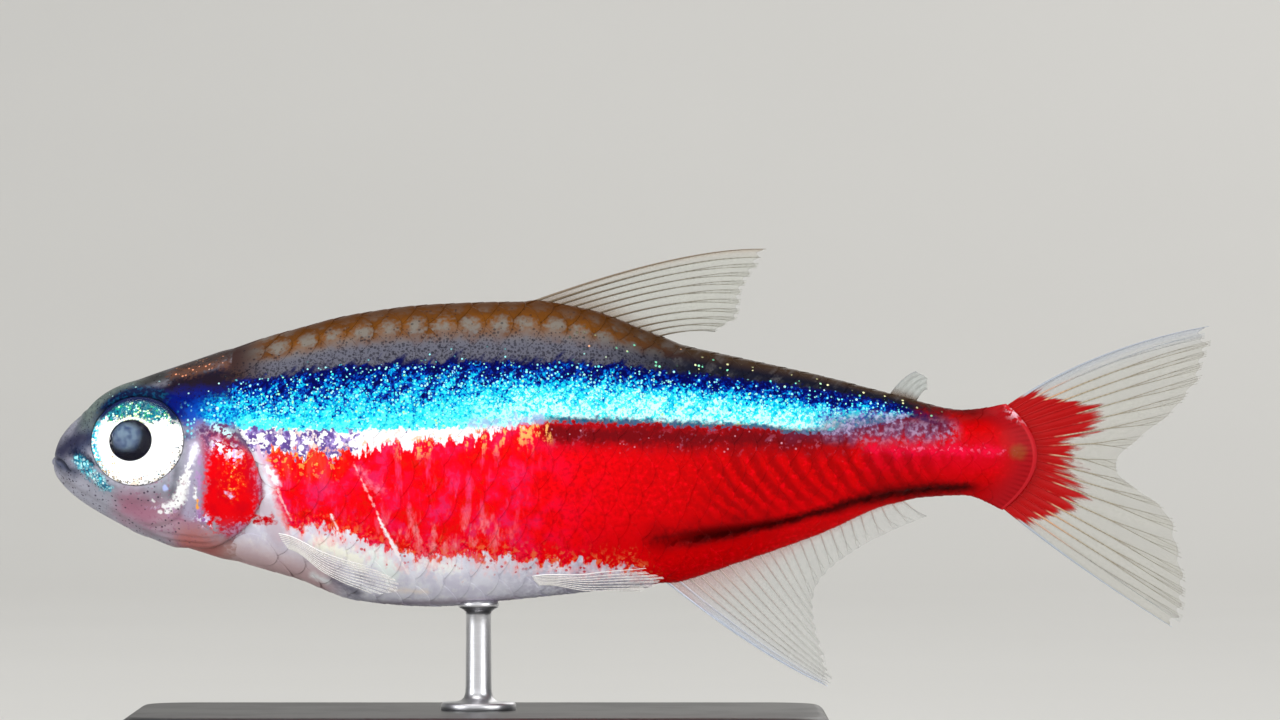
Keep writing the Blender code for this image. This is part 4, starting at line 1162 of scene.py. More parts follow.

    # silver and lilac band under the front of the stripe, its white blobs and flecks painted sparkle
    blobs = w.noise(2.8, 2, 0.6)
    gap = w.between(w.step(x, 11.2, 13.2), 0.52, 0.3)
    silver = Coat(w.mix(w.step(fine + coarse * 0.5, -0.1, 0.12), PURPLE, LILAC), brush)
    silver.lay(w.step(blobs, gap, gap + 0.04), (1.0, 0.98, 1.0))
    silver.lay(brush.flecks(large, 0.4, 0.5), (1.0, 0.99, 1.0))
    silver.lay(brush.flecks(small, 0.18, 0.5) * 0.9, (0.95, 0.92, 1.0))
    # painted glints in orange along the top of the red
    warm_edge = w.step(under_top, -0.35, -0.05) * w.step(fine, 0.06, 0.14) * w.step(x, 9.0, 10.5)
    silver.lay(warm_edge * 0.8, (0.98, 0.5, 0.25))
    in_band = w.step(stripe_bottom - z, -0.5, -0.4) * (1.0 - w.step(under_top, -0.08, 0.1))
    in_band = in_band * w.step(x + edge * 3.0, 18.9, 17.2)
    colour.lay(in_band, silver)
    dashes = streak + fine * 0.5 - under_top * 0.16
    beyond = w.step(dashes, 0.12, 0.17) * w.step(under_top, 1.1, 0.2)
    beyond = beyond * w.step(x, 21.0, 19.0) * w.step(x, 8.6, 9.4)
    colour.lay(beyond * 0.8, w.mix(small["Tint"], (1.0, 0.72, 0.6), (1.0, 0.95, 0.98)))

    # back: brown-edged scales above, grey with black grains below
    depth = (top - z) / (top - stripe_top) + fine * 0.1
    back = Coat(w.mix(w.step(depth, 0.35, 0.75), OLIVE_GREY, SLATE_GREY), brush)
    worn = fine * 1.7 + coarse * 1.7
    net = w.step(rim + worn, 0.1, 1.05)
    brown = net * w.step(depth + coarse * 0.5, 0.68, 0.36) * w.step(x, 7.2, 8.6)
    back.lay(brown, w.mix(w.step(coarse, -0.15, 0.2), BACK_BROWN, (0.19, 0.062, 0.006)))
    back.lay(w.step(depth, 0.34, 0.02) * w.step(x, 8.0, 10.0) * 0.9, BACK_EDGE)
    rear = w.step(x, 20.5, 26.0)
    back.lay(rear, w.mix(w.step(depth, 0.0, 0.7), (0.052, 0.026, 0.01), (0.006, 0.007, 0.018)))
    back.lay(rear * (1.0 - net) * w.step(patches, -0.1, 0.2) * 0.5, (0.13, 0.12, 0.12))
    back.lay(w.step(x, 9.0, 7.2), (0.045, 0.022, 0.02))
    cover = w.between(w.step(depth, 0.3, 0.95), 0.04, 0.85)
    back.lay(brush.flecks(small, cover, 0.5) * 0.6, MELANIN)
    back.lay(brush.flecks(tiny, cover, 0.5) * 0.55, MELANIN)
    back.lay(w.step(depth + patches, 0.86, 1.06), (0.003, 0.004, 0.06))
    # painted sparkle on the back: orange, gold-green and cyan flecks
    near_fin = brush.mask((20.5, 4.9), (24.5, 4.0), 0.8, 0.6)
    back.lay(brush.flecks(large, 0.06, 0.2) * near_fin, (1.0, 0.5, 0.28))
    late = w.step(x, 20.0, 25.0) * w.step(depth, 0.2, 0.5)
    spark = w.mix(w.step(small["Tint"], 0.4, 0.6), (0.3, 1.0, 0.62), (1.0, 0.98, 0.5))
    back.lay(brush.flecks(small, 0.1, 0.42) * late, spark)
    bright = brush.flecks(small, 0.05, 0.36) * w.step(depth, 0.7, 0.85) * (1.0 - late)
    back.lay(bright, (0.35, 0.9, 0.98))
    tail_brown = w.step(x + edge * 2.0, 35.8, 34.2)
    colour.lay(w.step(z - stripe_top, -0.42, -0.28) * tail_brown, back)

    # stripe: each cell a mirror of its own brightness, painted into the colour as sparkle
    deep = (stripe_top - z) / (stripe_top - stripe_bottom)
    lit = deep + patches * w.between(w.step(deep, 0.55, 0.95), 1.35, 0.7) + coarse * 0.3
    back_half = w.step(x, 14.0, 19.0) * w.step(x, 32.5, 29.5) * w.step(deep, 0.15, 0.5)
    lit = lit + back_half * 0.34
    sparkle = tiny["Shade"] - 0.5 + (small["Shade"] - 0.5) * 0.8
    lit = lit + sparkle * 0.52
    stripe = Coat(w.colours(lit, STRIPE_BLUES), brush)
    white_part = w.step(lit + sparkle * 0.2, 0.98, 1.28) * w.step(x, 15.0, 19.0)
    stripe.lay(white_part, (0.62, 0.98, 1.0))
    share = w.between(w.step(deep, 0.0, 0.6), 0.12, 0.34)
    fleck = w.mix(small["Tint"], (0.02, 0.8, 0.88), (0.5, 1.0, 1.0))
    fleck = w.mix(w.step(small["Shade"], 0.92, 0.95), fleck, (0.5, 1.0, 0.45))
    stripe.lay(brush.flecks(small, share, 0.42), fleck)
    stripe.lay(brush.flecks(tiny, share * 0.8, 0.55), fleck)
    rear_line = w.mix(w.step(fine, -0.1, 0.1), (0.004, 0.004, 0.035), (0.006, 0.016, 0.13))
    dark_edge = w.step(deep + fine * 0.3, 0.84, 0.97) * w.step(x, 18.5, 20.5)
    stripe.lay(dark_edge * 0.9, rear_line)
    tail_end = w.step(x + edge * 3.0, 29.5, 32.6) * w.step(deep, 0.3, 0.75)
    violet = w.mix(w.step(fine + streak * 0.6, -0.1, 0.15), (0.05, 0.03, 0.16), (0.42, 0.36, 0.58))
    stripe.lay(tail_end * 0.85, violet)
    ragged = edge * 0.45 + fine * 0.45
    in_stripe = w.step(stripe_top - z + ragged, -0.08, 0.08)
    in_stripe = in_stripe * w.step(z - stripe_bottom + ragged, -0.06, 0.06)
    in_stripe = in_stripe * w.step(x + edge * 1.6, 34.7, 33.9)
    colour.lay(in_stripe, stripe)

    haze = brush.mask((16.8, 1.05), (19.4, 1.28), 0.16, 0.16, 0.75, 1.2)
    colour.lay(haze, w.mix(w.step(fine, -0.05, 0.1), (0.3, 0.42, 0.72), (0.78, 0.8, 0.95)))

    # lilac flecks where the stripe ends, and painted glints: a pink row and pale pink patches at the tail's
    # root
    end_zone = brush.mask((31.2, 0.72), (35.8, 0.7), 0.42, 0.36, 0.9, 0.8)
    mauve = w.mix(w.step(fine, -0.05, 0.15), (0.15, 0.06, 0.14), (0.38, 0.28, 0.44))
    colour.lay(w.step(streak + fine, -0.25, 0.08) * end_zone * 0.85, mauve)
    pink_row = brush.mask((33.2, 0.1), (38.4, -0.05), 0.16, 0.22, 0.9, 0.9)
    colour.lay(pink_row * w.step(fine, 0.06, 0.16), (0.95, 0.16, 0.32))
    patch = brush.mask((38.6, 1.55), (39.8, 1.15), 0.3, 0.26, 1.0, 0.8)
    colour.lay(patch * w.step(fine, -0.02, 0.08), (0.95, 0.62, 0.72))

    lit_mask = in_stripe * w.step(lit, 0.4, 0.75)
    return w.give(Colour=colour, Mirror=lit_mask | in_band * 0.8, Fine=fine + 0.5)


BODY_MARKS_AND_LIGHT = build_body_marks_and_light()
print("nodes in the body markings:", len(BODY_MARKS_AND_LIGHT.nodes))

# %% [markdown]
# ## Markings of the head, with painted light
# The head is paler and more transparent than the body: grey over the snout, near black behind it, deep
# blue over the gill cover, grey and rose on the cheek, and red on the gill cover itself with a lilac rim.
# Painted glints and highlights lie among them: on the gill cover, along the nape and on the silver bone
# behind the eye. These are patches and not bands, so most of them are airbrush strokes of their own.

# %% Paint the head
HEAD_GREY = (0.27, 0.27, 0.32)
JAW_GREY = (0.37, 0.37, 0.44)
CHEEK_ROSE = (0.42, 0.17, 0.25)
SNOUT_SLATE = (0.028, 0.028, 0.060)
NAPE_DARK = (0.010, 0.004, 0.012)
EYE_MIDDLE = (3.5, 0.38)
HEAD_BLUES = (
    (0.0, (0.0005, 0.02, 0.3)), (0.4, (0.001, 0.2, 0.62)), (0.75, (0.005, 0.58, 0.85)),
    (1.0, (0.05, 0.88, 0.95)),
)
BRIGHT_DOTS = (
    # painted highlights under the eye: from, to and radius
    ((4.35, -2.24), (4.42, -2.28), 0.06), ((3.93, -2.02), (3.96, -2.05), 0.05),
    ((4.18, -2.48), (4.24, -2.48), 0.045), ((4.46, -2.50), (4.50, -2.50), 0.045),
    ((4.02, -2.30), (4.04, -2.32), 0.035), ((4.30, -1.95), (4.33, -1.97), 0.035),
)


def build_head_marks_and_light():
    """Colour with painted light, mirror strength and grain of the head."""
    w, x, z = new_group("Head markings and painted light", "Colour Mirror Fine", Along=0.0, Up=0.0)
    flat = w.join(x, 0.0, z)
    coarse = w.noise(1.9, 2) - 0.5
    fine = w.noise(6.5, 3) - 0.5
    edge = coarse * 0.6 + fine * 0.7
    brush = Brush(w, flat, edge)
    large, small, tiny = brush.cells(4.2), brush.cells(7.5), brush.cells(12.0)
    top = w.curve(x, TOP_PROFILE, SPAN, REACH)
    depth = top - z

    # grey flesh, rose on the cheek
    colour = Coat(w.mix(w.step(coarse, -0.15, 0.2), HEAD_GREY, JAW_GREY), brush)
    colour.stroke((0.42, 0.42, 0.5), (0.9, -1.5), (4.2, -3.35), 0.42, 0.4, 0.8, 0.4)
    colour.stroke(CHEEK_ROSE, (3.0, -2.3), (5.4, -3.1), 0.6, 0.55, 0.9, 0.6)
    colour.stroke((0.5, 0.4, 0.46), (4.3, -3.0), (6.4, -3.6), 0.3, 0.4, 0.6, 0.5)
    colour.stroke((0.48, 0.15, 0.13), (5.4, -3.75), (6.9, -4.25), 0.6, 0.5, 0.9, 0.5)
    colour.stroke((0.52, 0.32, 0.3), (7.2, -4.3), (9.0, -4.8), 0.55, 0.5, 0.9, 0.5)
    colour.stroke((0.2, 0.19, 0.21), (0.2, -1.15), (4.2, -3.62), 0.05, 0.14, 0.6, 0.2)
    colour.stroke((0.02, 0.05, 0.14), (0.9, 0.1), (1.7, 1.0), 0.34, 0.36, 0.95, 0.4)
    colour.stroke(SNOUT_SLATE, (0.25, -0.05), (1.05, 0.5), 0.44, 0.4, 0.97, 0.3)
    colour.stroke((0.05, 0.06, 0.11), (0.1, -0.6), (0.8, -0.9), 0.22, 0.26, 0.85, 0.3)
    colour.stroke((0.11, 0.11, 0.14), (4.9, -0.6), (4.7, -1.9), 0.1, 0.16, 0.6, 0.3)

    # top of the head: a clear grey rim, mid grey before the eye, and dark blue hugging the eye's upper edge
    front = w.step(z, 0.5, 1.0) * w.step(x, 3.6, 2.4) * w.step(x, 0.6, 1.2)
    colour.lay(front * 0.9, w.mix(w.step(coarse, -0.1, 0.15), (0.07, 0.09, 0.11), (0.12, 0.15, 0.15)))
    crown = w.step(depth, 0.4, 0.75) * w.step(z, 1.5, 1.9) * w.step(x, 1.5, 2.2)
    colour.lay(crown, (0.012, 0.012, 0.04))
    colour.stroke((0.001, 0.006, 0.075), (3.9, 2.15), (5.2, 1.75), 0.34, 0.28, 0.95, 0.6)
    colour.stroke(NAPE_DARK, (4.9, 2.7), (7.3, 2.75), 0.55, 0.35, 0.98, 0.6)
    rim = w.mix(w.step(fine, -0.1, 0.2), (0.15, 0.19, 0.17), (0.09, 0.11, 0.11))
    rim = w.mix(w.step(x, 2.8, 3.7), rim, (0.045, 0.045, 0.045))
    colour.lay(w.step(depth, 0.6, 0.22) * w.step(x, 0.7, 1.5) * w.step(x, 5.4, 4.2), rim)
    above_eye = w.math("SQRT", (x - EYE_MIDDLE[0]) ** 2 + (z - EYE_MIDDLE[1]) ** 2)
    brow = w.step(above_eye, 2.34, 2.05) * w.step(z, 1.2, 1.7)
    colour.lay(brow, w.mix(w.step(fine, 0.0, 0.1), (0.004, 0.01, 0.045), (0.004, 0.05, 0.12)))
    colour.stroke((0.04, 0.024, 0.018), (5.0, 3.25), (7.4, 4.0), 0.34, 0.24, 0.95, 0.5)
    # red-brown along the top edge of the nape, with orange flecks in it that are painted glints
    colour.stroke((0.13, 0.055, 0.035), (4.7, 2.98), (7.0, 3.5), 0.15, 0.18, 0.9, 0.8)
    warm = brush.mask((4.6, 2.95), (7.0, 3.6), 0.22, 0.2)
    colour.lay(brush.flecks(small, 0.16, 0.42) * warm, (0.9, 0.34, 0.18))

    # blue over the gill cover, the start of the stripe, with cyan and white flecks of painted sparkle
    colour.stroke((0.0006, 0.006, 0.16), (5.1, 1.75), (8.4, 1.85), 0.7, 0.3, 0.98, 0.6)
    colour.stroke((0.0008, 0.07, 0.5), (5.7, 1.4), (8.0, 1.6), 0.45, 0.4, 0.9, 1.1)
    colour.stroke((0.001, 0.12, 0.6), (5.8, 0.98), (6.5, 1.02), 0.24, 0.24, 0.8, 0.9)
    colour.stroke((0.004, 0.005, 0.02), (5.3, 0.5), (6.4, 0.62), 0.12, 0.16, 0.85, 0.6)
    colour.stroke((0.13, 0.15, 0.42), (5.5, 0.6), (6.1, 0.85), 0.16, 0.2, 0.7, 0.8)
    rear_cyan = brush.mask((6.6, 1.45), (8.6, 1.6), 0.55, 0.4, 1.0, 1.1)
    grain = tiny["Shade"] * 0.7 + small["Shade"] * 0.4 + fine
    bright = w.colours(grain, HEAD_BLUES)
    colour.lay(rear_cyan * w.step(grain, 0.12, 0.5), bright)
    blue_zone = brush.mask((5.7, 1.15), (8.0, 1.6), 0.7, 0.3)
    colour.lay(brush.flecks(small, 0.26, 0.52) * blue_zone, w.mix(small["Tint"], CYAN, PALE_CYAN))
    pale_cells = brush.mask((6.6, 1.75), (7.7, 0.95), 0.26, 0.3, 1.0, 0.9)
    colour.lay(brush.flecks(large, 0.42, 0.42) * pale_cells, (0.72, 0.98, 1.0))
    colour.lay(brush.flecks(small, 0.04, 0.34) * w.step(z, 1.3, 1.8), (0.55, 0.98, 0.98))
    pale = brush.mask((5.8, 0.72), (7.1, 0.62), 0.2, 0.16, 1.0, 0.8)
    colour.lay(pale * w.step(fine, 0.0, 0.08), (0.6, 0.92, 1.0))
    colour.stroke((0.92, 1.0, 1.0), (6.55, 0.74), (6.95, 0.52), 0.13, 0.08, 0.95, 0.5)

    # gill cover: red with painted orange glints, in a lilac and rose rim with white and lilac painted glints
    colour.stroke((0.3, 0.22, 0.36), (5.9, 0.85), (6.1, -2.6), 0.3, 0.2, 0.8, 0.6)
    rosy = w.mix(w.step(fine, -0.1, 0.15), (0.42, 0.04, 0.1), (0.56, 0.24, 0.38))
    colour.lay(brush.mask((6.5, 0.1), (7.75, -1.6), 0.8, 0.26, 1.0, 0.4), rosy)
    colour.lay(brush.mask((7.75, -1.6), (7.2, -2.8), 0.7, 0.3, 1.0, 0.4), rosy)
    red = Coat(w.mix(w.step(coarse, -0.1, 0.25), (0.86, 0.0006, 0.004), (0.7, 0.0006, 0.006)), brush)
    red.stroke((0.42, 0.003, 0.02), (6.2, 0.5), (7.3, 0.3), 0.3, 0.3, 0.8, 0.6)
    red.stroke((0.5, 0.003, 0.02), (7.75, -0.2), (8.0, -1.6), 0.16, 0.25, 0.6, 0.6)
    flame = brush.mask((7.25, -0.35), (7.15, -1.55), 0.36, 0.4)
    red.lay(w.step(fine, 0.02, 0.14) * flame, (0.94, 0.08, 0.012))
    red.lay(w.step(fine, 0.18, 0.23) * flame, (1.0, 0.6, 0.1))
    red.lay(brush.flecks(small, 0.08, 0.4) * flame, (1.0, 0.72, 0.4))
    cover = brush.mask((6.85, -0.4), (6.62, -2.2), 0.72, 0.2, 1.0, 1.0)
    cover = cover | brush.mask((7.3, -0.6), (7.4, -2.15), 0.78, 0.24, 1.0, 1.0)
    cover = cover | brush.mask((7.0, 0.2), (7.3, -0.3), 0.4, 0.18, 1.0, 0.9)
    cover = cover | brush.mask((6.3, -2.85), (8.7, -2.8), 0.22, 0.18, 1.0, 1.6)
    colour.lay(cover, red)
    colour.stroke((0.55, 0.03, 0.06), (6.7, -3.05), (8.0, -3.1), 0.12, 0.22, 0.7, 1.0)
    colour.stroke((0.1, 0.03, 0.1), (5.95, 0.8), (7.7, 0.62), 0.13, 0.18, 0.85, 1.3)
    colour.stroke((0.11, 0.045, 0.14), (6.0, 0.75), (6.2, 0.25), 0.14, 0.16, 0.85, 1.0)
    colour.stroke((0.22, 0.03, 0.09), (6.95, 0.58), (7.35, 0.15), 0.14, 0.16, 0.8, 1.0)
    colour.stroke((0.11, 0.05, 0.14), (7.55, 0.55), (7.9, 0.1), 0.14, 0.16, 0.85, 1.0)
    # painted glints: white and lilac blobs at the top and bottom of the gill cover
    blobs = w.noise(5.0, 2)
    top_blobs = brush.mask((6.55, 0.12), (7.3, -0.22), 0.24, 0.18, 1.0, 0.9)
    colour.lay(w.step(blobs, 0.48, 0.53) * top_blobs, (0.96, 0.9, 1.0))
    colour.lay(brush.flecks(small, 0.4, 0.55) * top_blobs, (0.75, 0.48, 0.95))
    high_blobs = brush.mask((6.35, 0.94), (7.0, 0.6), 0.14, 0.12, 1.0, 0.8)
    colour.lay(w.step(fine, -0.05, 0.04) * high_blobs, (0.62, 0.95, 1.0))
    low_blobs = brush.mask((5.65, -2.6), (6.15, -2.9), 0.2, 0.16, 1.0, 0.7)
    colour.lay(w.step(fine, -0.02, 0.1) * low_blobs, (0.42, 0.14, 0.5))
    colour.lay(w.step(blobs, 0.54, 0.6) * low_blobs, (0.9, 0.8, 1.0))
    spots = brush.mask((6.9, -1.75), (7.1, -1.85), 0.08, 0.08, 1.0, 0.5)
    colour.lay(spots, (0.8, 0.62, 0.9))

    # silver and lilac streaks behind and below the eye, their white cores painted highlights, and a lilac
    # painted glint
    colour.stroke((0.42, 0.38, 0.52), (5.62, 0.15), (5.42, -2.5), 0.32, 0.22, 0.85, 0.6)
    colour.stroke((0.86, 0.85, 0.95), (5.72, 0.14), (5.48, -0.5), 0.13, 0.12, 0.95, 0.6)
    colour.stroke((1.0, 1.0, 1.0), (5.4, -0.62), (5.2, -1.4), 0.13, 0.09, 1.0, 0.8)
    colour.stroke((1.0, 1.0, 1.0), (5.2, -1.35), (5.02, -2.02), 0.2, 0.1, 1.0, 0.6)
    colour.stroke((1.0, 1.0, 1.0), (5.02, -2.02), (4.62, -2.26), 0.18, 0.12, 1.0, 0.6)
    colour.stroke((1.0, 1.0, 1.0), (5.66, -1.5), (5.67, -1.92), 0.06, 0.05, 1.0, 0.4)
    colour.stroke((0.5, 0.26, 0.58), (5.84, -0.3), (5.8, -2.5), 0.05, 0.09, 0.7, 0.7)
    colour.stroke((1.0, 0.42, 0.06), (5.74, -2.02), (5.75, -2.3), 0.045, 0.04, 1.0, 0.3)
    chin = brush.mask((3.9, -2.15), (4.7, -2.45), 0.28, 0.2)
    for start, end, radius in BRIGHT_DOTS:
        colour.stroke((1.0, 0.97, 1.0), start, end, radius, 0.04, 1.0, 0.3)
    colour.lay(w.step(fine, 0.06, 0.16) * chin * 0.7, (0.72, 0.62, 0.86))
    colour.stroke((0.5, 0.58, 1.0), (4.44, -1.5), (4.48, -1.56), 0.08, 0.06, 0.9, 0.3)

    # cyan streak under the front of the eye, its flecks painted sparkle
    colour.stroke((0.002, 0.006, 0.035), (0.72, -0.1), (1.45, -0.55), 0.18, 0.16, 0.95, 0.6)
    streak = brush.mask((0.9, -0.42), (2.08, -1.52), 0.19, 0.14, 1.0, 0.6)
    ground = w.mix(tiny["Shade"], (0.004, 0.05, 0.14), (0.01, 0.42, 0.6))
    colour.lay(streak * 0.9, ground)
    shine = brush.flecks(small, 0.5, 0.62) | brush.flecks(tiny, 0.34, 0.6) * 0.8
    colour.lay(streak * shine, w.mix(small["Tint"], (0.08, 0.82, 0.92), (0.82, 1.0, 1.0)))

    # pigment cells
    dot_zone = w.step(z, -0.6, -1.3) * (1.0 - cover) * w.step(x, 6.4, 4.6)
    colour.lay(w.step(fine, 0.05, 0.2) * dot_zone * w.step(x, 2.4, 3.4) * 0.6, (0.34, 0.11, 0.2))
    colour.lay(brush.flecks(small, 0.22, 0.4) * dot_zone * 0.9, (0.06, 0.04, 0.07))
    colour.lay(brush.flecks(tiny, 0.3, 0.4) * w.step(x, 2.8, 1.2) * 0.7, (0.01, 0.01, 0.02))
    colour.lay(brush.flecks(tiny, 0.25, 0.5) * w.step(z, 1.0, 2.0) * 0.7, (0.005, 0.004, 0.01))

    mirror = streak | brush.mask((5.6, 0.1), (5.0, -2.1), 0.2, 0.15)
    return w.give(Colour=colour, Mirror=mirror, Fine=fine + 0.5)


HEAD_MARKS_AND_LIGHT = build_head_marks_and_light()
print("nodes in the head markings:", len(HEAD_MARKS_AND_LIGHT.nodes))

# %% [markdown]
# ## One coat of paint for skin and scales
# Behind the head the paint is the body's alone. On the head's skin the two sets of markings meet along the
# edge of the gill cover. The shader itself stays in each material: wet skin is a thin clear coat over the
# paint, with a faint grain of its own. Strong pigment looks washed out under a broad reflection, so the
# coat is smooth and thin, and reflects the lamps as small bright lights only. The flank stands nearer
# than the middle of the fish, so its markings are measured 0.7 % larger there than the outline.

# %% Fish paint
HEAD_REAR = (
    (-5.0, 7.1), (-3.4, 7.5), (-2.6, 8.12), (-1.5, 8.42), (-0.2, 8.08), (0.85, 7.6), (1.5, 7.6), (2.6, 7.2),
    (3.6, 7.1), (4.5, 7.1),
)
SPLIT_X = 9.4
WET_COAT = {"Specular IOR Level": 0.02, "Coat Weight": 0.10, "Coat Roughness": 0.12, "Coat IOR": 1.25}
GROWTH_RINGS = 60.0


def build_head_border():
    """1 on the head and 0 behind it."""
    w, along, up = new_group("Head border", "Mask", Along=0.0, Up=0.0)
    shifted = [(height - REACH[0], place) for height, place in HEAD_REAR]
    border = w.curve(up - REACH[0], shifted, REACH[1] - REACH[0], (0.0, 12.0))
    loose = w.step(up, 0.7, 1.4) | w.step(up, -3.0, -3.8)
    wobble = (w.noise(4.0, 3) - 0.5) * w.between(loose, 0.5, 2.2)
    soft = w.between(loose, 0.12, 0.40)
    return w.give(Mask=w.step(border - along + wobble, soft * -1.0, soft))


HEAD_BORDER = build_head_border()


def new_material(name, constants=None):
    """Material with one Principled shader; gives the material, its Wiring and the shader's inputs."""
    made = bpy.data.materials.new(name)
    made.use_nodes = True
    shader = made.node_tree.nodes["Principled BSDF"].inputs
    for label, value in (constants or {}).items():
        shader[label].default_value = value
    return made, Wiring(made.node_tree), shader


def bumped(w, height, distance, strength=1.0):
    """Normal from a height in 0 to 1 that stands for a distance in millimetres."""
    made = w.node("Bump")
    made.inputs["Strength"].default_value = strength
    made.inputs["Distance"].default_value = distance * MM
    w.feed(made.inputs["Height"], height)
    return made.outputs["Normal"]


def paint_material(name, head, scales):
    """Wet skin or scales with the fish's paint."""
    made, w, shader = new_material(name, WET_COAT)
    along, up = w.attribute("along"), w.attribute("up")
    rim = w.attribute("rim") if scales else 0.0
    body = w.group(BODY_MARKS_AND_LIGHT, Along=along, Up=up, Rim=rim)
    colour, mirror, fine = body["Colour"], body["Mirror"], body["Fine"]
    if head:
        face = w.group(HEAD_MARKS_AND_LIGHT, Along=along, Up=up)
        on_head = w.group(HEAD_BORDER, Along=along, Up=up)["Mask"]
        colour = w.mix(on_head, colour, face["Colour"])
        mirror = w.between(on_head, mirror, face["Mirror"])
        fine = w.between(on_head, fine, face["Fine"])
    w.feed(shader["Base Color"], colour)
    w.feed(shader["Roughness"], fine * 0.22 + 0.22)
    w.feed(shader["Metallic"], mirror * 0.12)
    height = fine
    if scales:
        rings = w.math("SINE", w.attribute("growth") * GROWTH_RINGS)
        height = height + rings * 0.12
    w.feed(shader["Normal"], bumped(w, height, 0.006 if scales else 0.010, 0.6))
    return made


def add_values(item, name, values):
    """Give each vertex of the piece a number that its material can read."""
    item.data.attributes.new(name, "FLOAT", "POINT").data.foreach_set(
        "value", np.asarray(values, np.float32),
    )


NEARER = 1.007
MIDDLE = (23.46, 3.60)


def note_place(item, points):
    """Note on each vertex how far back and how high it is on the fish, which is what the paint goes by."""
    points = np.asarray(points, float)
    add_values(item, "along", MIDDLE[0] + (points[:, 0] - MIDDLE[0]) * NEARER)
    add_values(item, "up", MIDDLE[1] + (points[:, 2] - MIDDLE[1]) * NEARER)


def dress(item, *materials):
    """Give the piece its materials, the first on every face."""
    item.data.materials.clear()
    for material in materials:
        item.data.materials.append(material)


HEAD_PAINT = paint_material("wet_head_skin", True, False)
BODY_PAINT = paint_material("wet_body_skin", False, False)
SCALE_PAINT = paint_material("wet_scales", False, True)
note_place(skin, skin_points)
dress(skin, HEAD_PAINT, BODY_PAINT)
for face in skin.data.polygons:
    face.material_index = int(skin_points[face.vertices[0]][0] > SPLIT_X)
print("paint laid on the skin")

# %% [markdown]
# ## Rows of scales
# Scales grow from pockets in the skin, each with its front end rooted and its rear end free, and each
# covering the fronts of the two behind it. They stand in rows along the body, with every other row shifted
# by half a scale. To lay such rows on any body, a place on the skin is given by how far along and how far
# round the girth it is, counted by length and not by angle, so that scales stay the same size from belly
# to back.

# %% Places on the girth
TABLE_PLACES = np.linspace(PLACES[0], PLACES[-1], 240)
TABLE_SHARES = np.linspace(0, 1, 121)


def girth_tables():
    """For each place: the girth angle at each share of the half girth, and the girth in millimetres."""
    angles = np.linspace(-90, 90, 361)
    points = body_point(TABLE_PLACES[:, None], angles[None, :])
    run = np.cumsum(np.linalg.norm(np.diff(points, axis=1), axis=-1), axis=1)
    run = np.concatenate((np.zeros((len(run), 1)), run), axis=1)
    table = np.array([np.interp(TABLE_SHARES * row[-1], row, angles) for row in run])
    return table, 2 * run[:, -1]


ANGLE_TABLE, GIRTH = girth_tables()


def angle_at(place, share):
    """Girth angle at a share of the half girth, for arrays."""
    row = (place - TABLE_PLACES[0]) / (TABLE_PLACES[1] - TABLE_PLACES[0])
    column = share * (len(TABLE_SHARES) - 1)
    i = np.clip(row.astype(int), 0, len(TABLE_PLACES) - 2)
    j = np.clip(column.astype(int), 0, len(TABLE_SHARES) - 2)
    a, b = np.clip(row - i, 0, 1), np.clip(column - j, 0, 1)
    upper = ANGLE_TABLE[i, j] * (1 - b) + ANGLE_TABLE[i, j + 1] * b
    lower = ANGLE_TABLE[i + 1, j] * (1 - b) + ANGLE_TABLE[i + 1, j + 1] * b
    return upper * (1 - a) + lower * a


def on_body(place, turn):
    """Point, outward direction and girth angle at a place and a share of the whole girth, from the belly."""
    turn = np.mod(turn, 1.0)
    side = np.where(turn < 0.5, 1.0, -1.0)
    share = np.where(turn < 0.5, 2 * turn, 2 - 2 * turn)
    angle = angle_at(place, share)
    point, normal = body_point(place, angle), body_normal(place, angle)
    level = np.sin(np.radians(angle))
    point = point + normal * body_relief(point, level)[..., None]
    flip = np.stack((np.ones_like(side), side, np.ones_like(side)), axis=-1)
    return point * flip, normal * flip, angle


print("girth at the deepest place:", round(float(GIRTH.max()), 1), "mm")

# %% [markdown]
# ## One scale
# A scale is a thin oval plate. It is laid over the body's curve, its front sunk into the skin and its rear
# lifted clear of the scale behind, so the rows cast fine real shadows. Growth rings, a slightly uneven edge
# and a random tilt keep the rows from looking stamped. Rim is 0 in the middle of the part that shows and
# 1 at its edge, and growth counts from the scale's own middle outwards.

# %% Build the scales
NAPE_FOOT, NAPE_FRONT = 1.45, 7.15
BREAST_TOP, BREAST_FRONT = -3.3, 7.9
LAST_SCALE = 37.75
ROW_COUNTS = ((7.0, 24.5, 24), (24.5, 30.2, 20), (30.2, 37.55, 16))
SCALE_SPACING = ((7.0, 1.10), (18.0, 1.10), (22.0, 1.0), (30.0, 0.86), (37.0, 0.68))
SCALE_RINGS = (0.0, 0.30, 0.56, 0.76, 0.90, 0.97, 1.0)
SCALE_SEGMENTS = 24
SCALE_LENGTH, SCALE_WIDTH = 0.80, 0.98
FRONT_SUNK, REAR_LIFT = -0.066, 0.002
SCALE_THICKNESS = 0.008
PATCH = 0.003
# outline: unevenness in threes and in fives, and squareness
UNEVEN_3, UNEVEN_5, SQUARE = 0.018, 0.012, 0.05
# chance: shift along and round the body, lift, tilt; and how far the whole edge is drawn down
SHIFT_ALONG, SHIFT_ROUND, VARY_LIFT, VARY_TILT = 0.02, 0.015, 0.002, 0.003
EDGE_DROP = 0.006
# middle of the part that shows, how much narrower it is than long, and its reach
HEART, HEART_WIDE, HEART_REACH = 0.42, 1.15, 0.60


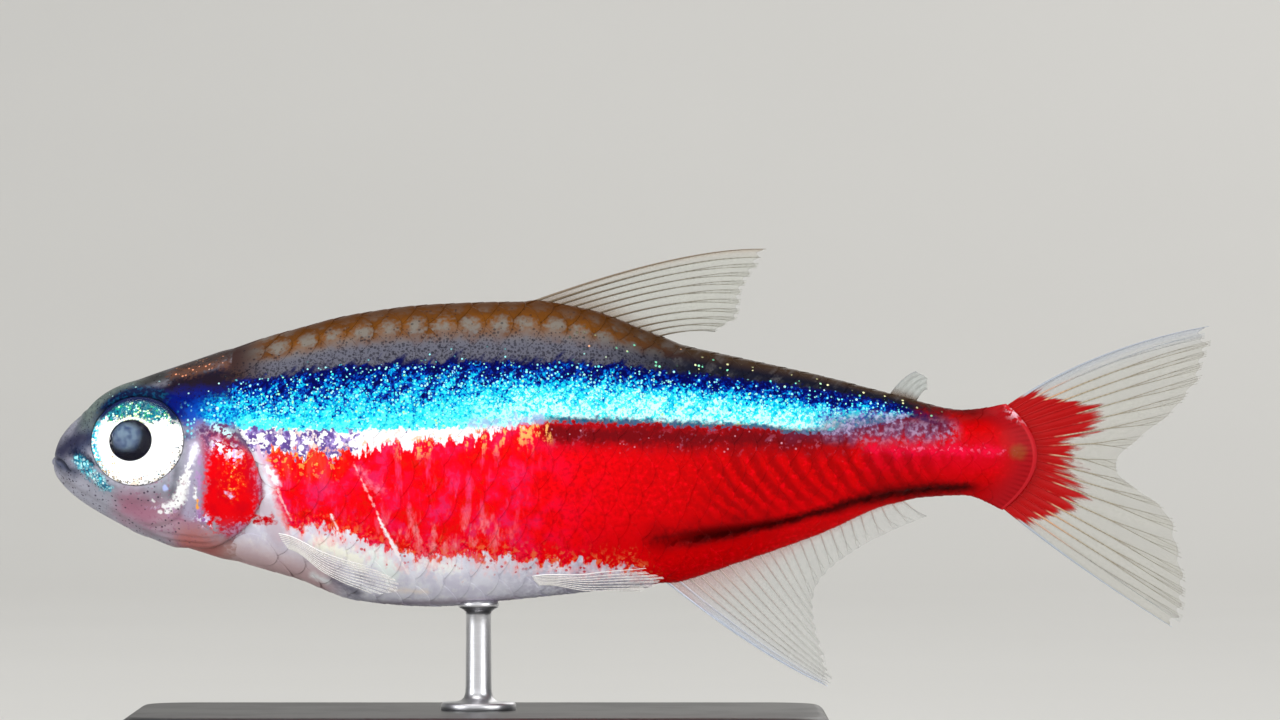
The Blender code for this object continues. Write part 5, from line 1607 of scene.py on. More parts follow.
def scale_centres():
    """Place, share of the girth, length and width of every scale."""
    table = np.array(SCALE_SPACING)
    centres = []
    for start, stop, rows in ROW_COUNTS:
        place, column = start, 0
        while place < stop:
            spacing = float(np.interp(place, table[:, 0], table[:, 1]))
            width = float(np.interp(place, TABLE_PLACES, GIRTH)) / rows
            for row in range(rows):
                here = place + (spacing / 2 if row % 2 else 0.0)
                turn = (row + 0.5) / rows
                if here < stop + 0.2:
                    centres.append((here, turn, spacing, width))
            place += spacing
    return np.array(centres)


def has_scales(point):
    """Whether a scale centred there is behind the head and ahead of the tail fin."""
    x, z = point[:, 0], point[:, 2]
    behind, _ = line_field(x, z, GILL_LINE)
    nape = (z > NAPE_FOOT) & (x > NAPE_FRONT + 0.10 * (z - NAPE_FOOT))
    flank = (z <= NAPE_FOOT) & (z > BREAST_TOP) & (behind > 0.30)
    breast = (z <= BREAST_TOP) & (x > BREAST_FRONT)
    return (nape | flank | breast) & (x < LAST_SCALE)


def scale_meshes(centres, kept):
    """Points, faces, face corners and attributes of the kept scales as one mesh."""
    radius = np.array(SCALE_RINGS[1:])
    theta = np.linspace(0, 2 * math.pi, SCALE_SEGMENTS, endpoint=False)
    shares = np.concatenate(([0.0], np.repeat(radius, SCALE_SEGMENTS)))
    turns = np.concatenate(([0.0], np.tile(theta, len(radius))))
    disc = np.stack((np.cos(turns) * shares, np.sin(turns) * shares), axis=-1)
    per_side = len(shares)
    points, faces, corners, rims, growths = [], [], [], [], []
    for k in kept:
        place, turn, spacing, width = centres[k]
        luck = RNG.normal(size=6)
        uneven = 1 + UNEVEN_3 * np.cos(3 * turns + luck[0]) + UNEVEN_5 * np.cos(5 * turns + luck[1])
        square = 1 + SQUARE * np.cos(2 * turns) ** 2
        u = np.cos(turns) * shares * uneven * square * SCALE_LENGTH * spacing
        v = np.sin(turns) * shares * uneven * SCALE_WIDTH * width
        girth = float(np.interp(place, TABLE_PLACES, GIRTH))
        at = place + SHIFT_ALONG * luck[2] * spacing + u
        around = turn + (v + SHIFT_ROUND * luck[3] * width) / girth
        point, normal, _ = on_body(np.clip(at, PLACES[0], PLACES[-1]), around)
        along = (u / (SCALE_LENGTH * spacing) + 1) / 2
        lift = FRONT_SUNK + (REAR_LIFT - FRONT_SUNK) * along + VARY_LIFT * luck[4]
        lift = lift + VARY_TILT * luck[5] * np.sin(turns) * shares - EDGE_DROP * shares ** 4
        top = point + normal * lift[:, None]
        edge = slice(per_side - SCALE_SEGMENTS, per_side)
        under = top[edge] - normal[edge] * SCALE_THICKNESS
        base = len(points)
        points.extend(top)
        points.extend(under)
        points.append(top[0] - normal[0] * SCALE_THICKNESS)
        middle = ((place - PLACES[0]) / (PLACES[-1] - PLACES[0]), turn)
        flat = unwrap(*middle) + PATCH / 2 * disc
        flat = np.concatenate((flat, flat[edge], flat[:1]))
        from_heart = np.hypot(disc[:, 0] - HEART, HEART_WIDE * np.sin(turns) * shares) / HEART_REACH
        rims.extend(np.concatenate((from_heart, from_heart[edge], [0.0])))
        growths.extend(np.concatenate((shares, shares[edge], [0.0])))
        for s in range(SCALE_SEGMENTS):
            t = (s + 1) % SCALE_SEGMENTS
            mine = [(0, 1 + s, 1 + t)]
            for ring in range(len(radius) - 1):
                inner, outer = 1 + ring * SCALE_SEGMENTS, 1 + (ring + 1) * SCALE_SEGMENTS
                mine.append((inner + s, outer + s, outer + t, inner + t))
            rim_row = 1 + (len(radius) - 1) * SCALE_SEGMENTS
            mine.append((rim_row + s, per_side + s, per_side + t, rim_row + t))
            mine.append((per_side + s, per_side + SCALE_SEGMENTS, per_side + t))
            for face in mine:
                faces.append(tuple(base + i for i in face))
                corners.extend(flat[i] for i in face)
    return points, faces, corners, rims, growths


CENTRES = scale_centres()
CENTRE_POINTS, _, _ = on_body(CENTRES[:, 0], CENTRES[:, 1])
SCALED = has_scales(CENTRE_POINTS)
PARTS = (
    ("scales_shoulder", 0.0, 14.5, "body_skin"), ("scales_flank", 14.5, 24.5, "body_skin"),
    ("scales_rear", 24.5, 31.0, "body_skin"), ("scales_tail", 31.0, 40.0, "tail_skin"),
)
for name, start, stop, slot in PARTS:
    kept = np.flatnonzero(SCALED & (CENTRES[:, 0] >= start) & (CENTRES[:, 0] < stop))
    kept = kept[np.argsort(-CENTRES[kept, 0])]
    points, faces, corners, rims, growths = scale_meshes(CENTRES, kept)
    item = make_piece(name, points, faces)
    lay_flat(item, corners)
    note_place(item, points)
    add_values(item, "rim", rims)
    add_values(item, "growth", growths)
    turn_outwards(item)
    dress(item, SCALE_PAINT)
    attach(item, "root")
    print(name, len(kept), "scales,", triangles_of(item), "triangles")

# %% [markdown]
# ## Eyes
# A tetra's eye is large, round and set flush in the head. The iris is a silvery ring with fine radial
# fibres, green and gold above and blue at the front, and the round lens bulges through the pupil. A clear
# cornea closes it with one strong highlight. All of it is turned on one axis, the way a glass eye is
# blown, and set into the socket of the skin. The ball behind is as deep as a real one.

# %% Turned shapes
EYE_SEGMENTS = 120
BALL_PROFILE = (
    # radius and height along the gaze, from the lens to the back
    (0.0, 0.300), (0.16, 0.294), (0.32, 0.274), (0.48, 0.240), (0.62, 0.196), (0.74, 0.148),
    (0.815, 0.108), (0.84, 0.086), (0.852, 0.098), (0.875, 0.112), (0.93, 0.118), (1.05, 0.112),
    (1.20, 0.098), (1.36, 0.080), (1.54, 0.062), (1.70, 0.040), (1.785, 0.015), (1.835, -0.025),
    (1.85, -0.10), (1.81, -0.24), (1.68, -0.44), (1.48, -0.62), (1.20, -0.84), (0.80, -1.00),
    (0.38, -1.07), (0.0, -1.09),
)
CORNEA_OUTSIDE = (
    (0.0, 0.450), (0.30, 0.440), (0.60, 0.408), (0.90, 0.352), (1.20, 0.276), (1.48, 0.184), (1.68, 0.100),
    (1.80, 0.030), (1.845, -0.030),
)
CORNEA_THICKNESS, CORNEA_SHRINK = 0.045, 0.985
IRIS_INNER, IRIS_OUTER = 0.84, 1.84
BALL_FORE, CORNEA_FORE = 1.0, 0.6
PUPIL_FORE = 0.22


def turned(profile, side, fore):
    """Closed surface turned round the gaze, its middle moved forward by a share of the pupil's offset."""
    centre, gaze, forward, up = eye_axes(side)
    profile = np.array(profile)
    radii, heights = profile[1:-1, 0], profile[1:-1, 1]
    theta = np.linspace(0, 2 * math.pi, EYE_SEGMENTS, endpoint=False)
    ring = EYE_WIDE * np.cos(theta)[:, None] * forward + EYE_HIGH * np.sin(theta)[:, None] * up
    shift = PUPIL_FORE * fore * (1 - rise(radii, 0.9, 1.75))
    points = centre + radii[:, None, None] * ring + heights[:, None, None] * gaze
    points = points + shift[:, None, None] * forward
    tips = [centre + height * gaze + PUPIL_FORE * fore * forward for height in profile[(0, -1), 1]]
    points = np.concatenate((points.reshape(-1, 3), tips))
    first, last = len(points) - 2, len(points) - 1
    rows = len(radii)
    faces = []
    for s in range(EYE_SEGMENTS):
        t = (s + 1) % EYE_SEGMENTS
        faces.append((first, s, t))
        for row in range(rows - 1):
            a, b = row * EYE_SEGMENTS, (row + 1) * EYE_SEGMENTS
            faces.append((a + s, b + s, b + t, a + t))
        end = (rows - 1) * EYE_SEGMENTS
        faces.append((last, end + t, end + s))
    return points, faces


def turned_values(profile):
    """Radius share, lift and fore of each point, for the iris paint."""
    profile = np.array(profile)
    theta = np.linspace(0, 2 * math.pi, EYE_SEGMENTS, endpoint=False)
    radii = np.repeat(profile[1:-1, 0], EYE_SEGMENTS)
    fore = np.tile(np.cos(theta), len(profile) - 2)
    lift = np.tile(np.sin(theta), len(profile) - 2)
    return np.append(radii, (0, 0)), np.append(lift, (0, 0)), np.append(fore, (0, 0))


print("iris from", IRIS_INNER, "to", IRIS_OUTER, "mm")

# %% [markdown]
# ## Iris paint
# The paint is laid by distance from the pupil and by direction: lift is 1 above and fore is 1 at the front.
# Fibres are noise drawn out along the radius. Over silver come a green and gold bow above the pupil, its
# glitter painted sparkle, a cyan rim at the front, and a dark blue rim of painted shade where the skin
# shades it. The pupil is black, with a faint blue bloom painted in its upper part, a painted reflection on
# the lens.

# %% Iris group
def build_iris():
    """Colour, roughness and relief of the eyeball from its radius and direction."""
    outputs = "Colour Roughness Metallic Height"
    w, radius, lift, fore = new_group("Iris", outputs, Radius=0.0, Lift=0.0, Fore=0.0)
    spread = w.join(fore * 9.0, lift * 9.0, radius * 1.6)
    fibres = w.noise(1.7, 4, 0.6, place=spread)
    cloud = w.noise(3.0, 3) - 0.5
    silver = Coat(w.mix(w.step(fibres, 0.3, 0.5), (0.88, 0.89, 0.93), (1.0, 1.0, 1.0)))
    rosy = w.step(lift, 0.1, -0.7) * w.step(cloud, 0.02, 0.15) * w.step(radius, 1.1, 1.5)
    silver.lay(rosy * 0.6, (0.62, 0.4, 0.36))
    height_over = lift + cloud * 0.55
    brush = Brush(w)
    cells = brush.cells(13.0)
    mirrors, few = brush.flecks(cells, 0.55, 0.7), brush.flecks(cells, 0.22, 0.6)
    height_over = height_over + w.step(radius, 1.0, 1.8) * 0.22 + (cells["Luck"] - 0.5) * 0.35
    bow = w.step(height_over, 0.62, 0.78)
    teal = Coat(w.mix(cells["Shade"], (0.0005, 0.018, 0.06), (0.001, 0.2, 0.26)))
    teal.lay(mirrors * w.step(cells["Tint"], 0.6, 0.75), (0.02, 0.38, 0.1))
    teal.lay(few, w.mix(cells["Tint"], (0.45, 1.0, 0.85), (0.95, 1.0, 0.35)))
    cream = w.step(cloud + fibres * 0.3, 0.14, 0.3) * 0.5
    silver.lay(cream, (0.9, 0.76, 0.52))
    rim_dots = few * w.step(radius, 1.3, 1.6) * w.step(lift, 0.4, -0.2)
    silver.lay(rim_dots, w.mix(cells["Tint"], (0.34, 0.16, 0.08), (0.03, 0.14, 0.16)))
    near_rim = w.step(radius, 1.6, 1.76) * w.step(lift, 0.2, -0.3)
    silver.lay(mirrors * near_rim, w.mix(cells["Luck"], (0.5, 0.36, 0.14), (0.1, 0.14, 0.18)))
    colour = Coat(w.mix(bow, silver, teal))
    inner_gold = w.step(height_over, 0.3, 0.6) * w.step(radius, 1.12, 0.92)
    colour.lay(inner_gold * w.step(fibres, 0.42, 0.58), (0.8, 0.85, 0.45))
    ahead = w.step(fore + cloud * 0.5, 0.55, 0.95) * w.step(radius, 1.35, 1.7)
    cyan = w.mix(cells["Tint"], (0.002, 0.08, 0.22), (0.05, 0.75, 0.85))
    colour.lay(ahead * w.step(cells["Luck"], 0.3, 0.36), cyan)
    low_front = w.step(fore, 0.25, 0.7) * w.step(lift, -0.2, -0.6)
    gold_bits = few * low_front
    colour.lay(gold_bits, (0.6, 0.34, 0.07))
    out_there = radius + cloud * 0.2
    blue_rim = w.step(out_there, 1.54, 1.7) * w.step(lift, 0.25, 0.6)
    colour.lay(blue_rim, (0.003, 0.008, 0.05))
    shaded = w.mix(w.step(lift, -0.1, 0.4), (0.2, 0.18, 0.2), (0.04, 0.04, 0.06))
    colour.lay(w.step(radius, 1.8, 1.86), shaded)
    ring = w.step(radius, 0.86, 0.9) * w.step(radius, 0.98, 0.93)
    colour.lay(ring * 0.75, (0.96, 0.96, 0.92))
    # painted reflection on the lens: a blue bloom in the upper part of the pupil
    across, above = radius * fore, radius * lift
    away = (across - 0.18) ** 2 + (above - 0.16) ** 2
    bloom = w.step(away + cloud * 0.45, 0.52, 0.1)
    haze = w.mix(w.step(cloud, -0.12, 0.12), (0.03, 0.05, 0.105), (0.11, 0.155, 0.21))
    pupil = w.mix(bloom, (0.002, 0.002, 0.006), haze)
    in_iris = w.step(radius + fore * -0.03, 0.84, 0.86)
    return w.give(
        Colour=w.mix(in_iris, pupil, colour), Roughness=w.between(in_iris, 0.06, fibres * 0.25 + 0.22),
        Metallic=in_iris * 0.05, Height=in_iris * fibres,
    )


IRIS = build_iris()


def eyeball_material():
    """Silvery iris and black lens."""
    made, w, shader = new_material("eyeball", {"Specular IOR Level": 0.10})
    iris = w.group(IRIS, Radius=w.attribute("radius"), Lift=w.attribute("lift"), Fore=w.attribute("fore"))
    w.feed(shader["Base Color"], iris["Colour"])
    w.feed(shader["Roughness"], iris["Roughness"])
    w.feed(shader["Metallic"], iris["Metallic"])
    w.feed(shader["Normal"], bumped(w, iris["Height"], 0.03, 0.6))
    return made


def seen_through(made, w, share):
    """Let a share of the rays pass straight through the material."""
    nodes = made.node_tree.nodes
    blend = w.node("MixShader")
    w.feed(blend.inputs[0], share)
    w.feed(blend.inputs[1], nodes["Principled BSDF"].outputs[0])
    w.feed(blend.inputs[2], w.node("BsdfTransparent").outputs[0])
    w.feed(nodes["Material Output"].inputs["Surface"], blend.outputs[0])


def cornea_material():
    """Clear, wet and slightly blue; lets lamp light through to the iris."""
    clear = {"Roughness": 0.02, "IOR": 1.14, "Transmission Weight": 1.0}
    made, w, shader = new_material("cornea", clear)
    haze = w.noise(1.2, 2)
    w.feed(shader["Base Color"], w.mix(haze, (0.97, 0.985, 1.0), (1.0, 1.0, 1.0)))
    seen_through(made, w, w.node("LightPath").outputs["Is Shadow Ray"])
    return made


EYEBALL, CORNEA = eyeball_material(), cornea_material()
inside = [(radius * CORNEA_SHRINK, height - CORNEA_THICKNESS) for radius, height in CORNEA_OUTSIDE[::-1]]
CORNEA_PROFILE = (*CORNEA_OUTSIDE, *inside)
for side, label in SIDES:
    points, faces = turned(BALL_PROFILE, side, BALL_FORE)
    ball = make_piece("eyeball_" + label, points, faces)
    for name, values in zip(("radius", "lift", "fore"), turned_values(BALL_PROFILE)):
        add_values(ball, name, values)
    turn_outwards(ball)
    dress(ball, EYEBALL)
    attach(ball, "root")
    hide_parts("eye_" + label)
    points, faces = turned(CORNEA_PROFILE, side, CORNEA_FORE)
    dome = make_piece("cornea_" + label, points, faces)
    turn_outwards(dome)
    dress(dome, CORNEA)
    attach(dome, "root")
    print("eye", label, triangles_of(ball) + triangles_of(dome), "triangles")

# %% [markdown]
# ## Fins
# A fin is a fan of bony rays with a skin between them thinner than paper. Each ray is a chain of short
# joints, tapers, and splits in two and again in four towards its tip, except for the stiff ones in front.
# Every fin is one curved surface of two numbers, how far across the fan and how far out along a ray, read
# from a few guide rays. The membrane is that surface with a real thickness, and the rays are tubes on it.

# %% Guide rays
# across, then root, bend and tip; x and z in mm for the fins on the midline
DORSAL_GUIDES = (
    (0.00, 19.00, None, 25.20, 8.12, 28.50, 8.04), (0.25, 20.25, None, 25.20, 7.30, 28.00, 7.20),
    (0.50, 21.60, None, 25.20, 6.55, 27.60, 6.30), (0.75, 22.90, None, 25.30, 5.60, 27.35, 5.38),
    (1.00, 24.00, None, 25.30, 4.90, 26.50, 4.72),
)
ANAL_GUIDES = (
    (0.00, 24.50, None, 28.40, -8.35, 31.00, -9.45), (0.15, 25.91, None, 28.70, -7.60, 31.06, -9.15),
    (0.30, 27.32, None, 29.20, -6.75, 30.90, -8.30), (0.40, 28.26, None, 29.50, -5.95, 30.50, -7.10),
    (0.50, 29.20, None, 29.85, -5.20, 30.35, -6.10), (0.60, 30.14, None, 30.50, -4.45, 30.80, -5.05),
    (0.70, 31.08, None, 31.35, -3.95, 31.60, -4.35), (0.80, 32.02, None, 32.20, -3.50, 32.40, -3.80),
    (0.90, 32.96, None, 33.20, -3.00, 33.60, -3.20), (1.00, 33.90, None, 34.40, -2.45, 34.95, -2.65),
)
CAUDAL_GUIDES = (
    (0.00, None, 1.72, 41.50, 4.10, 46.20, 4.95), (0.20, None, 1.15, 42.50, 2.60, 46.10, 3.60),
    (0.35, None, 0.55, 42.30, 1.20, 45.20, 1.90), (0.50, None, -0.12, 41.20, -0.30, 42.55, -0.64),
    (0.65, None, -0.85, 42.00, -1.90, 44.70, -2.70), (0.80, None, -1.60, 42.00, -3.50, 45.35, -5.40),
    (1.00, None, -2.28, 40.90, -4.70, 44.85, -7.15),
)
ADIPOSE_GUIDES = (
    (0.00, 33.45, None, 33.95, 2.95, 34.50, 3.16), (0.50, 34.00, None, 34.45, 2.80, 34.95, 2.85),
    (1.00, 34.50, None, 34.75, 2.45, 34.95, 2.42),
)
# across, then place and girth angle of root, bend and tip for the paired fins, which lie over the body
PECTORAL_GUIDES = (
    (0.00, 9.20, -41.0, 11.20, -40.0, 12.90, -41.5), (0.35, 9.32, -44.5, 11.50, -44.5, 13.80, -47.5),
    (0.60, 9.42, -47.0, 11.50, -48.0, 13.90, -51.5), (1.00, 9.55, -50.0, 11.30, -52.0, 12.90, -55.0),
)
PELVIC_GUIDES = (
    (0.00, 19.30, -58.0, 21.60, -54.0, 23.60, -52.0), (0.50, 19.42, -62.0, 22.00, -61.0, 24.30, -62.0),
    (1.00, 19.55, -66.0, 21.80, -68.0, 23.40, -70.0),
)
# paired fins: how deep the root is sunk, and how far the fin soon stands off the body
ROOT_SUNK, STAND_OFF = 0.02, 0.42


def read_guides(guides, across):
    """Root, bend and tip at places across the fan, each an array of pairs."""
    table = np.array(guides, float)
    columns = [smooth(table[:, 0], table[:, k], across) for k in range(1, 7)]
    return tuple(np.stack(columns[k:k + 2], axis=-1) for k in (0, 2, 4))


def bent(root, bend, tip, along):
    """Points of the curve from root to tip that bends towards its middle point."""
    along = along[..., None]
    return root * (1 - along) ** 2 + bend * 2 * along * (1 - along) + tip * along ** 2


def rooted(guides, root_of):
    """Guides with their roots filled in from the body."""
    return tuple((row[0], *root_of(row), *row[3:]) for row in guides)


def on_back(row):
    """Root of a dorsal ray, just under the back."""
    return row[1], float(top_line(row[1])) - 0.06


def on_belly(row):
    """Root of an anal ray, just inside the belly."""
    return row[1], float(belly_line(row[1])) + 0.06


def on_tail_end(row):
    """Root of a tail ray, just inside the bowed end of the body."""
    x_top, z_top, x_belly, z_belly, _, bow = BODY_SECTIONS[-1]
    share = (row[2] - z_belly) / (z_top - z_belly)
    return x_belly + (x_top - x_belly) * share + bow * (1 - (2 * share - 1) ** 2) - 0.12, row[2]


def median_fin(guides, wave, turns, phase):
    """Surface of a fin on the midline, with a slow wave across it."""
    def surface(across, along):
        across, along = np.broadcast_arrays(np.asarray(across, float), np.asarray(along, float))
        flat = bent(*read_guides(guides, across), along)
        sway = wave * np.clip(along, 0, 1) ** 1.4 * np.sin(
            2 * math.pi * (turns * across + 0.35 * along) + phase
        )
        return np.stack((flat[..., 0], sway, flat[..., 1]), axis=-1)
    return surface


def paired_fin(guides, flare, side, wave):
    """Surface of a fin that lies along the body and stands off towards its tip."""
    def surface(across, along):
        across, along = np.broadcast_arrays(np.asarray(across, float), np.asarray(along, float))
        flat = bent(*read_guides(guides, across), along)
        out = np.clip(along, 0, 1)
        lift = -ROOT_SUNK + STAND_OFF * rise(out, 0.0, 0.45) + flare * out ** 1.6
        lift = lift + wave * out * np.sin(2 * math.pi * 1.4 * across + 0.8)
        point, normal = body_point(flat[..., 0], flat[..., 1]), body_normal(flat[..., 0], flat[..., 1])
        return (point + normal * lift[..., None]) * np.array((1.0, side, 1.0))
    return surface


print(
    "guide rays:", sum((len(g) for g in (DORSAL_GUIDES, ANAL_GUIDES, CAUDAL_GUIDES, ADIPOSE_GUIDES))),
    "on the midline",
)

# %% Membranes and rays
RAY_SIDES = 8
FORKS = (0.48, 0.76)
RAY_STEPS = 26
RAY_HIGH = 1.15
RAY_ROOT, RAY_PAST_EDGE, FORK_OVERLAP = -0.03, 0.012, 0.03
STIFF_RAY = 1.25
PLEAT, TIP_THINNER = 0.020, 0.55
BRANCH_APART, TWIG_APART = 0.17, 0.085
BRANCH_SCALE, TWIG_SCALE = 0.78, 0.62


def frame_on(surface, across, along):
    """Point, direction out along the ray, and the membrane's normal."""
    step = 0.004
    point = surface(across, along)
    out = surface(across, along + step) - surface(across, along - step)
    over = surface(np.minimum(across + step, 1), along) - surface(np.maximum(across - step, 0), along)
    out /= np.linalg.norm(out, axis=-1)[..., None]
    normal = np.cross(out, over)
    normal /= np.linalg.norm(normal, axis=-1)[..., None]
    return point, out, normal


def reach_of(rays, uneven, notch):
    """How far out the membrane reaches at any place across: full at the rays, notched between them."""
    lengths = 1 + uneven * RNG.uniform(-1, 0.15, rays)

    def reach(across):
        across = np.asarray(across, float) * (rays - 1)
        full = np.interp(across, np.arange(rays), lengths)
        return full - notch * np.sin(math.pi * across) ** 2
    return reach


def membrane_mesh(surface, reach, rays, thickness, steps=44):
    """Closed thin sheet, with the place across and along of each of its points."""
    count = (rays - 1) * 6 + 1
    across = np.linspace(0, 1, count)[:, None]
    share = np.linspace(0, 1, steps + 1)[None, :] ** 0.95
    along = share * reach(across)
    across = np.broadcast_to(across, along.shape)
    point, _, normal = frame_on(surface, across, along)
    pleat = PLEAT * np.cos(2 * math.pi * across * (rays - 1)) * rise(along, 0.0, 0.2)
    half = thickness * (1 - TIP_THINNER * along) / 2
    middle = point + normal * pleat[..., None]
    points = np.concatenate([(middle + s * normal * half[..., None]).reshape(-1, 3) for s in (1, -1)])
    size, row = across.size, steps + 1
    faces = []
    for i in range(count - 1):
        for j in range(steps):
            a, b = i * row + j, (i + 1) * row + j
            faces.append((a, a + 1, b + 1, b))
            faces.append((size + a, size + b, size + b + 1, size + a + 1))
    border = [i * row for i in range(count)] + [(count - 1) * row + j for j in range(1, row)]
    border += [i * row + steps for i in range(count - 2, -1, -1)] + list(range(steps - 1, 0, -1))
    for a, b in zip(border, border[1:] + border[:1]):
        faces.append((a, b, size + b, size + a))
    return points, faces, np.tile(across.ravel(), 2), np.tile(along.ravel(), 2)


def tube(surface, across_at, start, stop, radius_at):
    """Closed tapering tube on the surface, along a line whose place across may drift."""
    along = np.linspace(start, stop, RAY_STEPS)
    across = np.clip(across_at(along), 0, 1)
    point, out, normal = frame_on(surface, across, along)
    flat = np.cross(normal, out)
    theta = np.linspace(0, 2 * math.pi, RAY_SIDES, endpoint=False)
    radius = radius_at(along)[:, None, None]
    ring = np.cos(theta)[None, :, None] * flat[:, None, :]
    ring = ring + RAY_HIGH * np.sin(theta)[None, :, None] * normal[:, None, :]
    points = (point[:, None, :] + radius * ring).reshape(-1, 3)
    faces = stack_faces(RAY_STEPS, RAY_SIDES)
    return points, faces, np.repeat(across, RAY_SIDES), np.repeat(along, RAY_SIDES)


def ray_tubes(surface, reach, rays, unbranched, thick, fine):
    """All rays of a fin: a stem each, two branches and four twigs."""
    gap = 1 / (rays - 1)
    made = []
    for index in range(rays):
        middle = index * gap
        stiff = index < unbranched[0] or index >= rays - unbranched[1]
        end = float(reach(middle)) + RAY_PAST_EDGE
        heavy = thick * (STIFF_RAY if stiff else 1.0)

        def width(along, scale=1.0, heavy=heavy):
            return scale * (fine + (heavy - fine) * (1 - np.clip(along, 0, 1)) ** 1.1)

        if stiff:
            made.append(tube(surface, lambda t, m=middle: np.full_like(t, m), RAY_ROOT, end, width))
            continue
        first, second = (fork * end for fork in FORKS)
        stem_end = first + FORK_OVERLAP
        made.append(tube(surface, lambda t, m=middle: np.full_like(t, m), RAY_ROOT, stem_end, width))
        for s in (-1, 1):
            def branch(t, m=middle, s=s, a=first, b=end):
                return m + s * BRANCH_APART * gap * rise(t, a, a + 0.7 * (b - a))
            made.append(tube(surface, branch, first, second + 0.02, lambda t: width(t, BRANCH_SCALE)))
            for q in (-1, 1):
                def twig(t, m=middle, s=s, q=q, b=end, c=second, branch=branch):
                    return branch(t) + q * TWIG_APART * gap * rise(t, c, b)
                made.append(tube(surface, twig, second, end, lambda t: width(t, TWIG_SCALE)))
    points, faces, across, along, base = [], [], [], [], 0
    for part_points, part_faces, part_across, part_along in made:
        points.append(part_points)
        faces += [tuple(base + i for i in face) for face in part_faces]
        across.append(part_across)
        along.append(part_along)
        base += len(part_points)
    return np.concatenate(points), faces, np.concatenate(across), np.concatenate(along)


print("rays fork at", FORKS, "of their length")

# %% [markdown]
# ## Paint of the fins
# Fin membrane is clear, so most of it is let through, with a little more substance at the root, along the
# rays and at the front edge. Rays are pale and slightly yellow, with a darker joint every quarter of a
# millimetre. The tail's red runs out along the rays in streaks. One group gives the membrane's substance
# and another the rays' joints, and each fin mixes them in its own colours.

# %% Fin groups
def build_membrane():
    """Opacity and streaks of a membrane from the place across and along."""
    w, across, along, rays, clear, thick = new_group(
        "Membrane", "Alpha Streak Height", Across=0.0, Along=0.0, Rays=10.0, Clear=0.2, Dense=0.6,
    )
    wide = across * rays
    streak = w.noise(1.0, 3, 0.6, place=w.join(wide * 1.6, along * 2.4, 0.0))
    cells = w.noise(9.0, 2)
    between = abs(w.math("SINE", wide * math.pi))
    beside = (1.0 - between) ** 2
    root = w.step(along, 0.22, 0.0)
    front = w.math("MAXIMUM", w.step(across, 0.05, 0.0), 0.0)
    dense = (beside * 0.35 | root * 0.7 | front * 0.8) + (streak - 0.5) * 0.7 + (cells - 0.5) * 0.35
    dense = w.math("MINIMUM", w.math("MAXIMUM", dense, 0.0), 1.0)
    return w.give(Alpha=w.between(dense, clear, thick), Streak=streak, Height=streak + cells * 0.3)


def build_joints():
    """Joint marks along a ray and its change of colour towards the tip."""
    w, along, count, root, tip, dark = new_group(
        "Ray joints", "Colour Height", Along=0.0, Count=30.0, Root=(0.5, 0.5, 0.4, 1),
        Tip=(0.7, 0.7, 0.6, 1), Joint=(0.3, 0.25, 0.2, 1),
    )
    wave = w.math("SINE", along * count * (2 * math.pi))
    joint = w.step(wave, 0.55, 0.95) * w.step(along, 0.12, 0.28)
    mottle = w.noise(4.0, 3)
    colour = w.mix(w.step(along + mottle * 0.4, 0.2, 1.1), root, tip)
    return w.give(Colour=w.mix(joint * 0.55, colour, dark), Height=mottle - joint * 0.8)


MEMBRANE, JOINTS = build_membrane(), build_joints()


RED_REACH = (
    # height over the axis and how far back the tail's red runs
    (-8.0, 38.6), (-3.2, 39.0), (-2.8, 39.7), (-2.2, 41.0), (-1.6, 41.2), (-0.8, 40.8), (0.5, 41.1),
    (1.1, 42.0), (1.7, 41.8), (2.1, 39.9), (2.6, 39.2), (8.0, 38.6),
)


def tail_red(w, shift):
    """1 where the tail fin is red, its border moved by a shift in mm."""
    shifted = [(height + 8.0, place) for height, place in RED_REACH]
    border = w.curve(w.attribute("up") + 8.0, shifted, 16.0, (38.0, 43.0))
    over = w.attribute("along") + shift - border
    return w.step(over, 0.5, -0.5)


def membrane_material(name, rays, clear, dense, colour, front, rooted_colour):
    """Thin clear skin of one fin."""
    thin = {"Roughness": 0.32, "Specular IOR Level": 0.12, "Coat Weight": 0.05}
    made, w, shader = new_material(name, thin)
    across, along = w.attribute("across"), w.attribute("out")
    sheet = w.group(MEMBRANE, Across=across, Along=along, Rays=float(rays - 1), Clear=clear, Dense=dense)
    tint = w.mix(w.step(sheet["Streak"], 0.35, 0.65), colour, tuple(min(1.0, 1.25 * c) for c in colour))
    tint = w.mix(w.step(across, 0.14, 0.0), tint, front)
    tint = w.mix(w.step(along, 0.30, 0.0), tint, rooted_colour)
    alpha = sheet["Alpha"]
    if name == "caudal_membrane":
        red = tail_red(w, (sheet["Streak"] - 0.5) * 3.4)
        tint = w.mix(red, tint, CAUDAL_RED)
        alpha = alpha | red * 0.99
    w.feed(shader["Base Color"], tint)
    w.feed(shader["Alpha"], alpha)
    w.feed(shader["Normal"], bumped(w, sheet["Height"], 0.02, 0.5))
    return made


